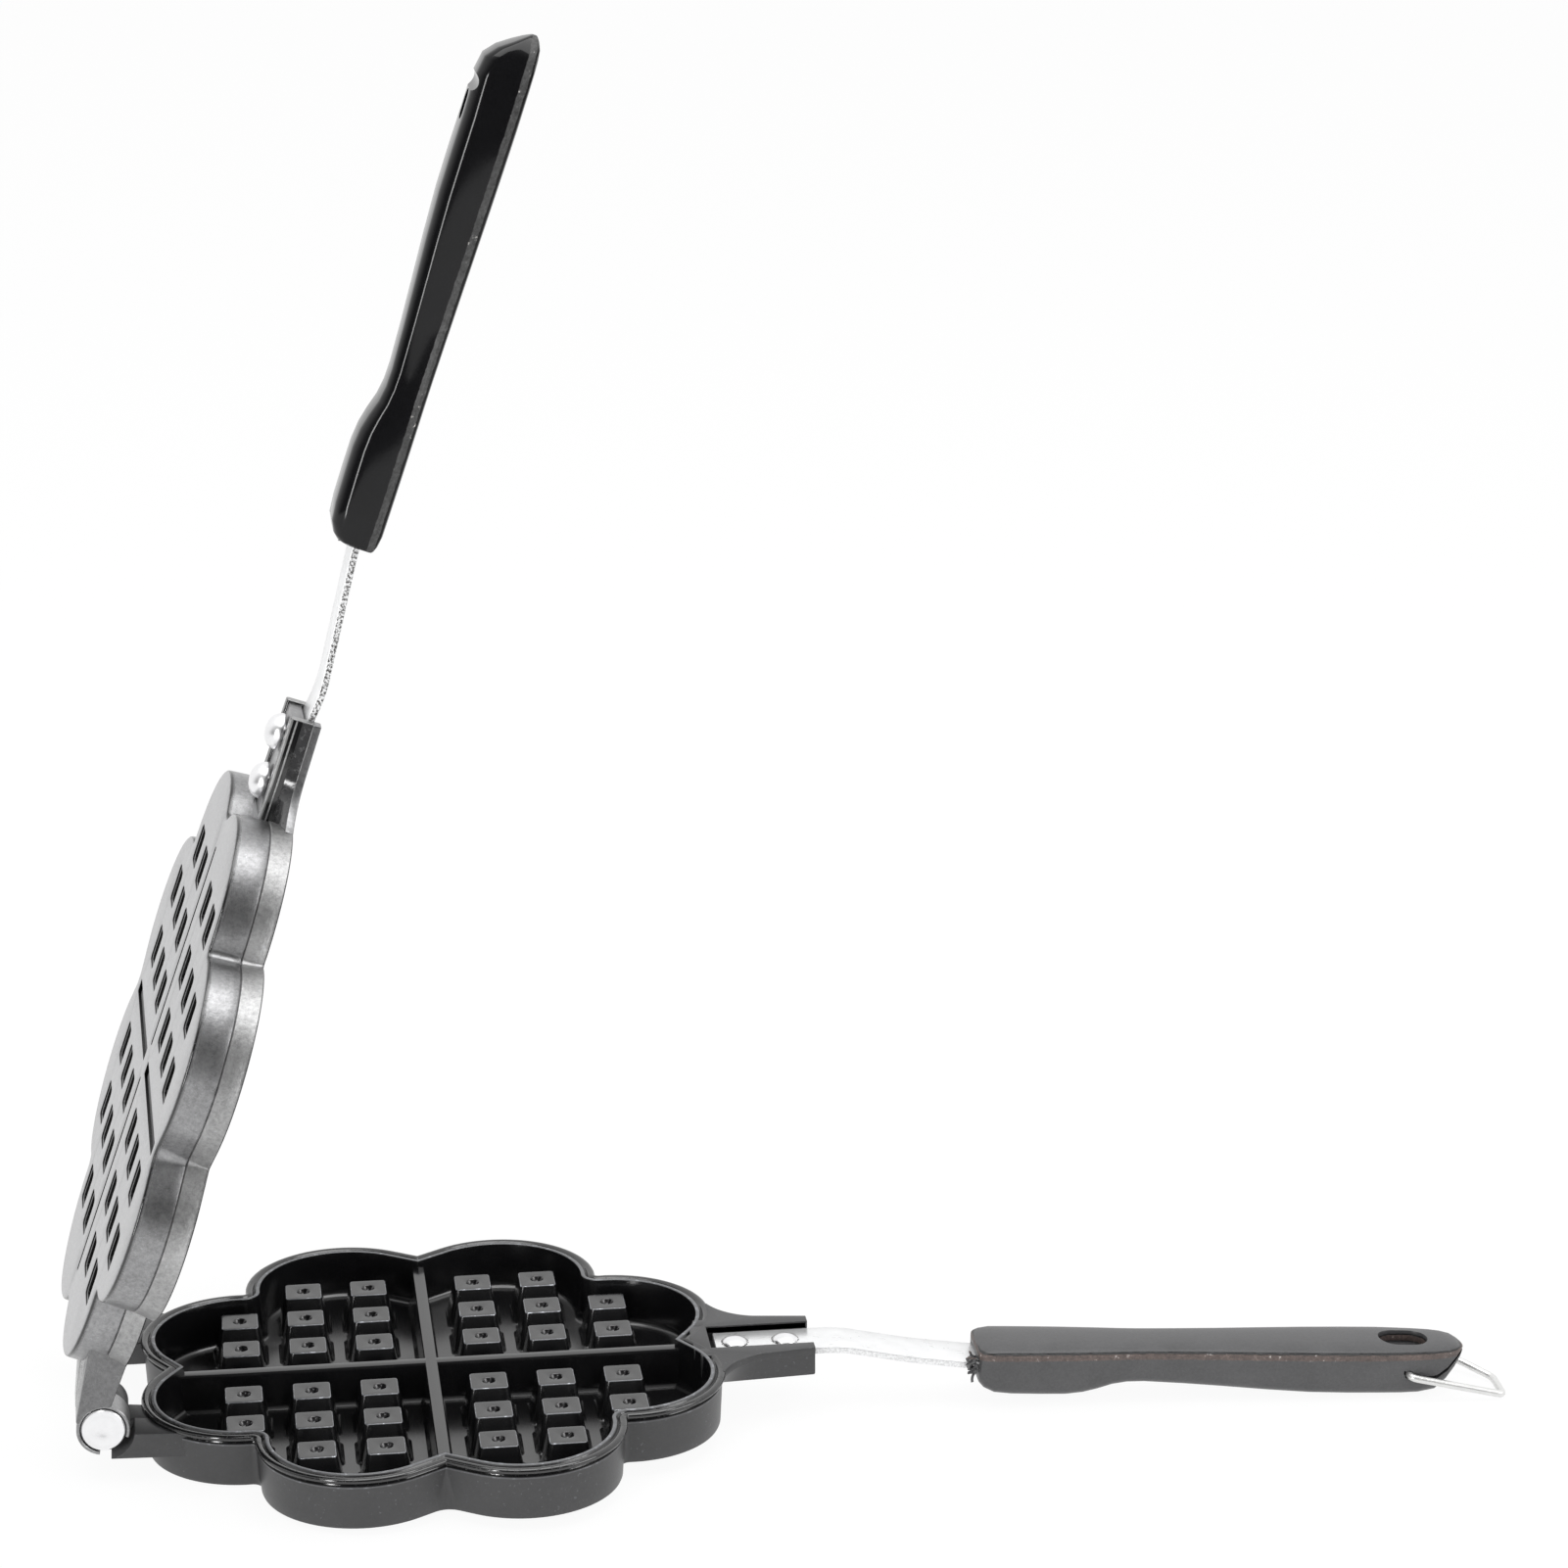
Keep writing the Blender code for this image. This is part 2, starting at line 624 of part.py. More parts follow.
def upper_hinge(name, parent):
    """Two arms that end in an open hook round the pin, cut back beside it to clear the ring."""
    joined, cut = [], []
    axis = axis_place(-HINGE_YAW_DEG)
    reach = ARM_ROOT_X - HINGE_X
    root = HINGE_ROOT_X - HINGE_X
    face = -PARTING_GAP / 2
    growth = (ARM_ROOT_DEPTH - ARM_DEPTH) / reach
    outline = [(0, face), (0, face - ARM_DEPTH), (root, face - ARM_DEPTH - growth * root), (root, face)]
    width = HINGE_OUTER_Y - HINGE_INNER_Y
    past_inner = HINGE_INNER_Y - CUT_OVERRUN
    past_outer = HINGE_OUTER_Y + CUT_OVERRUN
    hook_start = HINGE_OUTER_Y - HOOK_LENGTH
    mouth_reach = 2 * HOOK_RADIUS
    mouth = [(0, 0)] + arc((0, 0), mouth_reach, HOOK_MOUTH_FROM_DEG, HOOK_MOUTH_TO_DEG, NOTCH_STEPS)
    for side, sign in SIDES.items():
        middle = Matrix.Translation((HINGE_X, sign * (HINGE_INNER_Y + width / 2), HINGE_Z))
        joined.append(side_profile(f"{name}_arm_{side}", outline, width, parent, middle))
        tag = f"{name}_hook_{side}"
        joined.append(round_tool(tag, HOOK_RADIUS, hook_start, HINGE_OUTER_Y, sign, parent, axis))
        tag = f"{name}_bore_{side}"
        cut.append(round_tool(tag, PIN_RADIUS + GAP, past_inner, past_outer, sign, parent, axis))
        tag = f"{name}_relief_{side}"
        cut.append(round_tool(tag, KNUCKLE_RADIUS + GAP, past_inner, hook_start, sign, parent, axis))
        hook_middle = axis @ Matrix.Translation((0, sign * (HINGE_OUTER_Y - HOOK_LENGTH / 2), 0))
        wedge_width = HOOK_LENGTH + 2 * CUT_OVERRUN
        cut.append(side_profile(f"{name}_mouth_{side}", mouth, wedge_width, parent, hook_middle))
    return joined, cut


def add_pin(side, sign, material):
    bm = bmesh.new()
    cylinder(bm, PIN_RADIUS, (0, sign * HINGE_INNER_Y, 0), (0, sign * HINGE_OUTER_Y, 0), ROUND_STEPS)
    name = f"hinge_pin_{side}"
    add_part(name, finish_mesh(bm, name), material, None, axis_place(HINGE_YAW_DEG))


def grip_frame(x, drop, lean_deg):
    """The grip's own frame: its mouth's parting edge at the origin, X towards its tip."""
    place = Matrix.Translation((x, 0, PAN_HEIGHT - drop))
    return place @ Matrix.Rotation(radians(lean_deg), 4, "Y")


def strap_in_grip(frame):
    """Where the strap's inner face enters the grip and where it ends inside."""
    level = -STRAP_UNDER_EDGE
    mouth = frame @ Vector((0, 0, level))
    end = frame @ Vector((STRAP_IN_HANDLE, 0, level))
    return [(mouth.x, mouth.z), (end.x, end.z)]


def add_strap(name, path, material, parent):
    """A strap of even thickness whose inner face follows path, given as (x, z)."""
    bm = bmesh.new()
    rows = []
    for x, z in path:
        rows.append([bm.verts.new((x, side * STRAP_WIDTH / 2, z)) for side in (-1, 1)])
    for row, following in zip(rows, rows[1:]):
        bm.faces.new((row[0], following[0], following[1], row[1]))
    mesh = bpy.data.meshes.new(name)
    bm.to_mesh(mesh)
    bm.free()
    strap = add_part(name, mesh, material, parent)
    solid = strap.modifiers.new("thickness", "SOLIDIFY")
    solid.thickness = STRAP_THICKNESS
    solid.offset = -1
    solid.use_even_offset = True
    holes = add_tool(f"{name}_holes", rivet_hole_mesh(f"{name}_holes"), parent)
    combine(strap, holes, "DIFFERENCE")


def rivet_profile():
    """Half a rivet from its small head down to its large dome, as (radius, height)."""
    head_foot = STRAP_TOP_Z + GAP
    dome_foot = BRACKET_BOTTOM_Z - GAP
    points = []
    for i in range(RIVET_ARC_STEPS + 1):
        turn = radians(90 * i / RIVET_ARC_STEPS)
        points.append((RIVET_HEAD_RADIUS * sin(turn), head_foot + RIVET_HEAD_HEIGHT * cos(turn)))
    points += [(RIVET_RADIUS, head_foot), (RIVET_RADIUS, dome_foot)]
    for i in range(RIVET_ARC_STEPS + 1):
        turn = radians(90 * i / RIVET_ARC_STEPS)
        points.append((RIVET_DOME_RADIUS * cos(turn), dome_foot - RIVET_DOME_HEIGHT * sin(turn)))
    return points


def add_rivet(name, x, material, parent):
    bm = bmesh.new()
    profile = [(max(radius, 0), height) for radius, height in rivet_profile()]
    profile[-1] = (0, profile[-1][1])
    chain = [bm.verts.new((radius, 0, height)) for radius, height in profile]
    for first, second in zip(chain, chain[1:]):
        bm.edges.new((first, second))
    mesh = bpy.data.meshes.new(name)
    bm.to_mesh(mesh)
    bm.free()
    rivet = add_part(name, mesh, material, parent, Matrix.Translation((x, 0, 0)))
    spin = rivet.modifiers.new("turn", "SCREW")
    spin.steps = RIVET_STEPS
    spin.render_steps = RIVET_STEPS
    spin.use_merge_vertices = True
    spin.merge_threshold = GAP / 100


def grip_ring(x, half_width, depth):
    """A cross-section of the grip: a low crown, a rough parting strip, and rounded lower edges."""
    edge = min(GRIP_EDGE_RADIUS, half_width / 2, depth / 3)
    crown = GRIP_CROWN * min(1, 2 * half_width / GRIP_WIDTH)
    lower = half_width - GRIP_SIDE_DRAFT * min(1, 2 * half_width / GRIP_WIDTH)
    strip = min(GRIP_STRIP, depth / 4)
    inner = [(half_width * across, crown * up) for across, up in GRIP_CROWN_SHARES]
    side = inner + [
        (half_width, 0),
        (half_width, -strip),
        (lower, edge - depth),
        (lower - edge * (1 - cos(radians(45))), edge * (1 - sin(radians(45))) - depth),
        (lower - edge, -depth),
    ]
    whole = side + [(-y, z) for y, z in reversed(side)]
    return [(x, y, z) for y, z in whole]


def add_grip(name, material, parent, frame, has_pivot):
    rings = []
    for along, across, down in GRIP_SECTION_SHARES:
        rings.append(grip_ring(along * GRIP_LENGTH, across * GRIP_WIDTH / 2, down * GRIP_DEPTH))
    grip = add_part(name, loft_mesh(name, rings), material, parent, frame)
    bm = bmesh.new()
    length = STRAP_IN_HANDLE + GAP + CUT_OVERRUN
    size = (length, STRAP_WIDTH + 2 * GAP)
    top = GAP - STRAP_UNDER_EDGE
    middle = (length / 2 - CUT_OVERRUN, 0)
    tapered_box(bm, middle, size, size, top - STRAP_THICKNESS - 2 * GAP, top)
    socket = add_tool(f"{name}_socket", finish_mesh(bm, f"{name}_socket"), parent, frame)
    combine(grip, socket, "DIFFERENCE")
    straight = (HANG_HOLE_LENGTH - HANG_HOLE_WIDTH) / 2
    right = arc((straight, 0), HANG_HOLE_WIDTH / 2, -90, 90, HOLE_SIDES // 2)
    outline = right + [(-x, -y) for x, y in right]
    mesh = plate_mesh(f"{name}_hang_hole", outline, 3 * GRIP_DEPTH)
    place = frame @ Matrix.Translation((HANG_HOLE_X, 0, 0))
    combine(grip, add_tool(f"{name}_hang_hole", mesh, parent, place), "DIFFERENCE")
    bm = bmesh.new()
    if has_pivot:
        for sign in (-1, 1):
            start = (BAIL_PIVOT_X, sign * (BAIL_HALF_WIDTH - WIRE_RADIUS - WIRE_SINK), -BAIL_PIVOT_DROP)
            end = (BAIL_PIVOT_X, sign * GRIP_WIDTH, -BAIL_PIVOT_DROP)
            cylinder(bm, WIRE_RADIUS + GAP, start, end, HOLE_SIDES)
    else:
        start = (LATCH_GROOVE_X, -GRIP_WIDTH, -GRIP_DEPTH)
        end = (LATCH_GROOVE_X, GRIP_WIDTH, -GRIP_DEPTH)
        cylinder(bm, LATCH_GROOVE_RADIUS, start, end, HOLE_SIDES)
    tool = add_tool(f"{name}_latch_cut", finish_mesh(bm, f"{name}_latch_cut"), parent, frame)
    combine(grip, tool, "DIFFERENCE")


def rounded_path(corners, radius, steps):
    """The corners' polyline with each inner corner rounded, as 3-D points."""
    path = [corners[0]]
    for before, corner, after in zip(corners, corners[1:], corners[2:]):
        start = corner + (before - corner).normalized() * radius
        end = corner + (after - corner).normalized() * radius
        for i in range(steps + 1):
            share = i / steps
            path.append(start.lerp(corner, share).lerp(corner.lerp(end, share), share))
    path.append(corners[-1])
    return path


def add_bail(material, frame):
    """The wire latch, hung in the lower grip's two pivot holes."""
    pivot = frame @ Vector((BAIL_PIVOT_X, 0, -BAIL_PIVOT_DROP))
    turn = Matrix.Rotation(radians(-BAIL_REST_DEG), 4, "Y")
    hinge = make_empty("bail_pivot", Matrix.Translation(pivot) @ turn)
    inner = BAIL_HALF_WIDTH - WIRE_RADIUS - WIRE_SINK + GAP
    bar_end = BAIL_HALF_WIDTH * BAIL_FAR_BAR_SHARE
    corners = [
        Vector((0, -inner, 0)),
        Vector((0, -BAIL_HALF_WIDTH, 0)),
        Vector((BAIL_LENGTH, -BAIL_HALF_WIDTH, 0)),
        Vector((BAIL_LENGTH, bar_end, 0)),
        Vector((BAIL_LENGTH * BAIL_FAR_LEG_SHARE, BAIL_HALF_WIDTH, 0)),
        Vector((0, BAIL_HALF_WIDTH, 0)),
        Vector((0, inner, 0)),
    ]
    curve = bpy.data.curves.new("latch_bail", "CURVE")
    curve.dimensions = "3D"
    curve.bevel_depth = WIRE_RADIUS
    curve.bevel_resolution = 2
    curve.use_fill_caps = True
    path = rounded_path(corners, BAIL_CORNER, BAIL_CORNER_STEPS)
    spline = curve.splines.new("POLY")
    spline.points.add(len(path) - 1)
    for point, place in zip(spline.points, path):
        point.co = (*place, 1)
    curve.materials.append(material)
    bail = bpy.data.objects.new("latch_bail", curve)
    parts.objects.link(bail)
    bail.parent = hinge


clear_scene()
parts = make_collection("stovetop_waffle_iron")
cutters = make_collection("cutters")

coated = make_material("coated_aluminium", (0.035, 0.035, 0.037), 0.32, 0.3)
cast = make_material("cast_aluminium", (0.09, 0.09, 0.09), 0.45, 0.4)
zinc = make_material("galvanised_steel", (0.62, 0.63, 0.64), 0.32, 1.0)
bright = make_material("bright_aluminium", (0.80, 0.80, 0.80), 0.25, 1.0)
grip_dark = make_material("phenolic_satin", (0.06, 0.06, 0.062), 0.45, 0.0)
grip_black = make_material("phenolic_gloss", (0.018, 0.018, 0.019), 0.18, 0.0)
wire = make_material("steel_wire", (0.78, 0.78, 0.78), 0.2, 1.0)

lid_axis = axis_place(HINGE_YAW_DEG)
lid_pivot = make_empty("lid_pivot", lid_axis @ Matrix.Rotation(radians(-LID_OPEN_DEG), 4, "Y"))
lid_closed = Matrix.Translation((0, 0, 2 * HINGE_Z)) @ Matrix.Rotation(radians(180), 4, "X")
lid_frame = make_empty("lid_frame", lid_axis.inverted() @ lid_closed, lid_pivot)
bpy.context.view_layer.update()

add_pan("lower_pan", coated, None, lower_hinge)
add_pan("upper_pan", cast, lid_frame, upper_hinge)
for side, sign in SIDES.items():
    add_pin(side, sign, bright)

lower_frame = grip_frame(LOWER_GRIP_X, LOWER_GRIP_DROP, LOWER_GRIP_LEAN_DEG)
upper_frame = grip_frame(UPPER_GRIP_X, UPPER_GRIP_DROP, 0)
lower_path = [
    (STRAP_START_X, STRAP_TOP_Z),
    (LOWER_BEND_X, STRAP_TOP_Z),
    (LOWER_KNEE_X, STRAP_TOP_Z - LOWER_KNEE_DROP),
    *strap_in_grip(lower_frame),
]
upper_path = [
    (STRAP_START_X, STRAP_TOP_Z),
    (UPPER_BEND_X, STRAP_TOP_Z),
    (UPPER_CREST_X, STRAP_TOP_Z + UPPER_CREST_RISE),
    *strap_in_grip(upper_frame),
]
add_strap("lower_strap", lower_path, zinc, None)
add_strap("upper_strap", upper_path, zinc, lid_frame)
for end, x in rivet_places().items():
    add_rivet(f"lower_rivet_{end}", x, bright, None)
    add_rivet(f"upper_rivet_{end}", x, bright, lid_frame)
add_grip("lower_handle", grip_dark, None, lower_frame, True)
add_grip("upper_handle", grip_black, lid_frame, upper_frame, False)
add_bail(wire, lower_frame)
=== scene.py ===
from math import atan2, cos, pi, radians, sin, sqrt
from random import Random

import bmesh
import bpy
from mathutils import Matrix, Vector


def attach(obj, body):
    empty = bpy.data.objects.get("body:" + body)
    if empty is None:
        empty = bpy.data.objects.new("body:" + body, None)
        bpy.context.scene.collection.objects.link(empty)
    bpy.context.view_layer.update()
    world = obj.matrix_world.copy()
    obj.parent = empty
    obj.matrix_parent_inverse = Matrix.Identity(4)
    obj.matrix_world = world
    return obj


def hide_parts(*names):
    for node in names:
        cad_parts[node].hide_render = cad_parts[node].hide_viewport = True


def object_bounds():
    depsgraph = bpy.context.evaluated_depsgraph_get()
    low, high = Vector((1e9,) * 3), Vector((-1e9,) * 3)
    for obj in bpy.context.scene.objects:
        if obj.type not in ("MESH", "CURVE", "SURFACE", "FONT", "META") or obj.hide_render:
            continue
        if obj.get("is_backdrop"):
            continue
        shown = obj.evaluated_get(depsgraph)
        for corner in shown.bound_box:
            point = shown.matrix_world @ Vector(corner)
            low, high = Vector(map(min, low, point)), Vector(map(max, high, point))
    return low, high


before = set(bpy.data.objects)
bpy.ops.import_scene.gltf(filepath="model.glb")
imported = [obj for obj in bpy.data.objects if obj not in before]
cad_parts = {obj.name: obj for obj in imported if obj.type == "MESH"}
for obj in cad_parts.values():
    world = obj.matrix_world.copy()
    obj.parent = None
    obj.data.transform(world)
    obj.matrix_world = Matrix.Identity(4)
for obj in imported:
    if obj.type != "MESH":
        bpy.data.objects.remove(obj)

cad_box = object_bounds()

# Studio: a white table and a white room, seen from the front and a little from above.
# The table dips by two degrees towards the grips, because the iron rests on its pan's left edge
# and on its latch. Soft lamps stand overhead, on the right and at the front left.
metre = 1000  # millimetres, the unit of every size below
lens = 113.392
camera_place = Vector((-61.228, -1286.549, 606.764)) / metre
camera_turn = 0.126000853
camera_dip = 0.317087169
camera_roll = -0.00314654184
flat_share = cos(camera_dip)
look = Vector((sin(camera_turn) * flat_share, cos(camera_turn) * flat_share, -sin(camera_dip)))
level = Vector((cos(camera_turn), -sin(camera_turn), 0))
rise = level.cross(look)
right = level * cos(camera_roll) + rise * sin(camera_roll)
up = rise * cos(camera_roll) - level * sin(camera_roll)
camera_data = bpy.data.cameras.new("camera")
camera_data.sensor_width = 36
camera_data.lens = lens
camera_data.clip_start = 0.05
camera_data.clip_end = 50
camera = bpy.data.objects.new("camera", camera_data)
facing = Matrix((right, up, -look)).transposed().to_4x4()
camera.matrix_world = Matrix.Translation(camera_place) @ facing
bpy.context.scene.collection.objects.link(camera)
bpy.context.scene.camera = camera
bpy.context.scene.view_settings.view_transform = "Standard"


class Socket:
    """A node's output, so that shader maths reads as an expression."""

    def __init__(self, tree, link):
        self.tree, self.link = tree, link

    def maths(self, operation, left, right):
        return add_node(self.tree, "ShaderNodeMath", {"operation": operation}, {0: left, 1: right})

    def __add__(self, other):
        return self.maths("ADD", self, other)

    def __radd__(self, other):
        return self.maths("ADD", other, self)

    def __sub__(self, other):
        return self.maths("SUBTRACT", self, other)

    def __rsub__(self, other):
        return self.maths("SUBTRACT", other, self)

    def __mul__(self, other):
        return self.maths("MULTIPLY", self, other)

    def __rmul__(self, other):
        return self.maths("MULTIPLY", other, self)


def add_node(tree, kind, settings=None, sockets=None, out=0):
    """One node with its settings, then the values or links of its sockets. Gives one output."""
    made = tree.nodes.new(kind)
    for name, value in (settings or {}).items():
        setattr(made, name, value)
    for name, value in (sockets or {}).items():
        if isinstance(value, Socket):
            tree.links.new(value.link, made.inputs[name])
        else:
            made.inputs[name].default_value = value
    return None if out is None else Socket(tree, made.outputs[out])


def between(value, low, high):
    """0 where value is below low, 1 above high, smooth between."""
    return add_node(
        value.tree,
        "ShaderNodeMapRange",
        {"interpolation_type": "SMOOTHSTEP"},
        {"Value": value, "From Min": low, "From Max": high},
    )


def part_of(vector, axis):
    """One of a vector's three numbers."""
    return add_node(vector.tree, "ShaderNodeSeparateXYZ", {}, {"Vector": vector}, out=axis)


def rays(tree, kind):
    """1 for the rays of one kind, 0 for all others."""
    return add_node(tree, "ShaderNodeLightPath", out=f"Is {kind} Ray")


# The room is white behind and above, and dim in front, which keeps the coated fronts dark.
# Looked at directly it is plain white, and as a light it is even.
room_light, dim_side = 0.75, 0.08
lift_share, dim_until, white_from = 0.6, -0.45, 0.5
world = bpy.data.worlds.new("room")
bpy.context.scene.world = world
world.use_nodes = True
room = world.node_tree
room.nodes.clear()
looked_at = rays(room, "Camera")
mirrored = rays(room, "Glossy") + rays(room, "Transmission")
way = add_node(room, "ShaderNodeTexCoord")
behind, lift = part_of(way, "Y"), part_of(way, "Z")
seen_room = between(behind + lift_share * lift, dim_until, white_from)
seen_room = dim_side + (1 - dim_side) * seen_room
strength = room_light + mirrored * (seen_room - room_light)
strength = strength + looked_at * (1 - strength)
sky = add_node(room, "ShaderNodeBackground", {}, {"Color": (1, 1, 1, 1), "Strength": strength})
add_node(room, "ShaderNodeOutputWorld", {}, {"Surface": sky}, out=None)


def lamp(name, place, aim, size, power):
    """A rectangular softbox that faces the point aim."""
    data = bpy.data.lights.new(name, "AREA")
    data.shape = "RECTANGLE"
    data.size, data.size_y = size
    data.energy = power
    lamp_object = bpy.data.objects.new(name, data)
    towards = (Vector(aim) - Vector(place)).to_track_quat("-Z", "Y")
    lamp_object.matrix_world = Matrix.Translation(place) @ towards.to_matrix().to_4x4()
    bpy.context.scene.collection.objects.link(lamp_object)


lamp("overhead_softbox", place=(0.1, -0.1, 1.5), aim=(0.05, 0, 0), size=(1.5, 1.1), power=14)
lamp("side_softbox", place=(1.6, -0.8, 0.8), aim=(0.05, 0, 0.05), size=(1.0, 1.0), power=10)
lamp("strip_softbox", place=(-0.92, -1.31, 0.5), aim=(0, 0, 0.3), size=(0.2, 1.0), power=9)

table_tilt = radians(2.0)
table_left, table_drop, table_side = -80, 0.05, 6000
bm = bmesh.new()
bmesh.ops.create_grid(bm, x_segments=1, y_segments=1, size=table_side / 2)
bmesh.ops.rotate(bm, verts=bm.verts, matrix=Matrix.Rotation(table_tilt, 3, "Y"))
bmesh.ops.translate(bm, verts=bm.verts, vec=(table_left, 0, -table_drop))
bmesh.ops.scale(bm, verts=bm.verts, vec=Vector((1 / metre,) * 3))
table_mesh = bpy.data.meshes.new("table")
bm.to_mesh(table_mesh)
bm.free()
table = bpy.data.objects.new("table", table_mesh)
bpy.context.scene.collection.objects.link(table)
table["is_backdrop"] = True


def new_material(name):
    """An empty material and its node tree."""
    material = bpy.data.materials.new(name)
    material.use_nodes = True
    material.node_tree.nodes.clear()
    return material, material.node_tree


# The table glows white where it is looked at or mirrored, and still shows the iron's faint shadow
table_colour, glow_share = (0.93, 0.93, 0.93, 1), 0.93
table_material, tree = new_material("table_white")
shown = rays(tree, "Camera") + rays(tree, "Glossy") + rays(tree, "Transmission")
shown = add_node(tree, "ShaderNodeMath", {"operation": "MINIMUM"}, {0: shown, 1: 1})
shaded = add_node(tree, "ShaderNodeBsdfDiffuse", {}, {"Color": table_colour})
glow = add_node(tree, "ShaderNodeEmission", {}, {"Strength": 1})
mixed = add_node(tree, "ShaderNodeMixShader", {}, {0: glow_share * shown, 1: shaded, 2: glow})
add_node(tree, "ShaderNodeOutputMaterial", {}, {"Surface": mixed}, out=None)
table_mesh.materials.append(table_material)


# Lower pan: one aluminium casting with a dark non-stick coating, in the outline of four hearts.
# Its wall rises to a beaded rim with a groove and a lip, and its floor carries studs and two ribs.
# The bracket for the strap stands out on the right and the two hinge blocks on the left.
# Each quarter of the outline has a side lobe and an end lobe, with a round cleft between them
side_lobe, side_radius = Vector((53.4, 19.6, 0)), 24.4
end_lobe, end_radius = Vector((22.5, 50.0, 0)), 24.7
cleft_radius = 5.0
lean = radians(33)
notch_round = 0.4
foot_notch = 6.0
lobe_steps, cleft_steps, notch_steps = 36, 10, 6
across = end_lobe - side_lobe
reach_side, reach_end = side_radius + cleft_radius, end_radius + cleft_radius
share = (reach_side**2 - reach_end**2 + across.length_squared) / (2 * across.length)
aside = Vector((across.y, -across.x, 0)).normalized() * sqrt(reach_side**2 - share**2)
cleft = side_lobe + across.normalized() * share + aside

pan_height = 15.6
floor_top = 1.95
stud_first_x, stud_first_y, stud_pitch = 15.36, 15.26, 19.0
hinge_place = Vector((-92.5, 0, 15.75))
hinge_tilt, hinge_yaw = radians(-1.05), radians(0.42)
same_point, same_height = 0.01, 0.001


def heading(start, end):
    return atan2(end.y - start.y, end.x - start.x)


def arc(centre, radius, start, end, steps):
    """Points of an arc in the plane, from one angle in degrees to the other."""
    turns = [radians(start + (end - start) * i / steps) for i in range(steps + 1)]
    return [(centre[0] + radius * cos(turn), centre[1] + radius * sin(turn)) for turn in turns]


def flower_ring(piece, offset, height, notch=notch_round):
    """One closed ring round the pan, moved outwards by offset from the lip's inner edge."""
    bm = bmesh.new()
    reach = side_radius + offset + notch
    notch_x = (side_lobe.x * cos(lean) - side_lobe.y * sin(lean) + reach) / cos(lean)
    reach = end_radius + offset + notch
    notch_y = (end_lobe.y * cos(lean) - end_lobe.x * sin(lean) + reach) / cos(lean)
    to_side, to_end = heading(cleft, side_lobe), heading(cleft, end_lobe) - 2 * pi
    from_cleft = heading(end_lobe, cleft)
    arcs = (
        (Vector((notch_x, 0, 0)), notch, pi, -lean, notch_steps),
        (side_lobe, side_radius + offset, -lean, heading(side_lobe, cleft) + lean, lobe_steps),
        (cleft, cleft_radius - offset, to_side, to_end - to_side, cleft_steps),
        (end_lobe, end_radius + offset, from_cleft, pi / 2 + lean - from_cleft, lobe_steps),
        (Vector((0, notch_y, 0)), notch, lean - pi / 2, -lean, notch_steps),
    )
    last = None
    for centre, radius, start, sweep, steps in arcs:
        place = centre + Vector((radius * cos(start), radius * sin(start), height))
        if last is None or (last.co - place).length > same_point:
            first = bm.verts.new(place)
            if last:
                bm.edges.new((last, first))
            last = first
        spun = bmesh.ops.spin(
            bm, geom=[last], cent=centre, axis=(0, 0, 1), angle=sweep, steps=steps
        )
        last = next(item for item in spun["geom_last"] if isinstance(item, bmesh.types.BMVert))
    for axis in "XY":
        everything = bm.verts[:] + bm.edges[:]
        bmesh.ops.mirror(bm, geom=everything, merge_dist=same_point, axis=axis)
    mesh = bpy.data.meshes.new("ring")
    bm.to_mesh(mesh)
    bm.free()
    before = len(piece.edges)
    piece.from_mesh(mesh)
    bpy.data.meshes.remove(mesh)
    piece.edges.ensure_lookup_table()
    return piece.edges[before:]


def block_ring(bm, centre, half_x, half_y, corner, height, points=24):
    """One closed ring in the shape of a rectangle with rounded corners."""
    turn = Matrix.Rotation(pi / points, 4, "Z")
    made = bmesh.ops.create_circle(bm, segments=points, radius=corner, matrix=turn)["verts"]
    for vert in made:
        out_x = half_x - corner if vert.co.x > 0 else corner - half_x
        out_y = half_y - corner if vert.co.y > 0 else corner - half_y
        vert.co += Vector((centre[0] + out_x, centre[1] + out_y, height))
    return list({edge for vert in made for edge in vert.link_edges})


def paint(rings, layer, value):
    """Writes one value on all points of some rings."""
    for ring in rings:
        for edge in ring:
            for vert in edge.verts:
                vert[layer] = value


def join_rings(bm, rings, closed=()):
    """Joins each ring to the next with a band of faces, and fills the rings that are closed."""
    for ring, following in zip(rings, rings[1:]):
        bmesh.ops.bridge_loops(bm, edges=ring + following)
    for end in closed:
        bmesh.ops.contextual_create(bm, geom=rings[end])


def at_height(vert, height):
    return abs(vert.co.z - height) < same_height


def open_edges(bm, height):
    """The free edges that lie flat at a height."""
    free = [edge for edge in bm.edges if len(edge.link_faces) < 2]
    return [edge for edge in free if all(at_height(vert, height) for vert in edge.verts)]


def points_of(made):
    return [item for item in made["geom"] if isinstance(item, bmesh.types.BMVert)]


def round_edges(bm, edges, offset, segments):
    bmesh.ops.bevel(
        bm,
        geom=edges,
        offset=offset,
        segments=segments,
        profile=0.5,
        affect="EDGES",
        material=-1,
        clamp_overlap=True,
    )


def slab(outline, low, high, place=Matrix(), round_off=0.4, segments=2):
    """A flat outline given a thickness, with its sharp edges rounded off."""
    sharp_from = radians(35)
    bm = bmesh.new()
    face = bm.faces.new([bm.verts.new((x, y, low)) for x, y in outline])
    raised = points_of(bmesh.ops.extrude_face_region(bm, geom=[face]))
    bmesh.ops.translate(bm, verts=raised, vec=(0, 0, high - low))
    bmesh.ops.recalc_face_normals(bm, faces=bm.faces)
    if round_off:
        sharp = [edge for edge in bm.edges if edge.calc_face_angle(0) > sharp_from]
        round_edges(bm, sharp, round_off, segments)
    bmesh.ops.transform(bm, verts=bm.verts, matrix=place)
    return bm


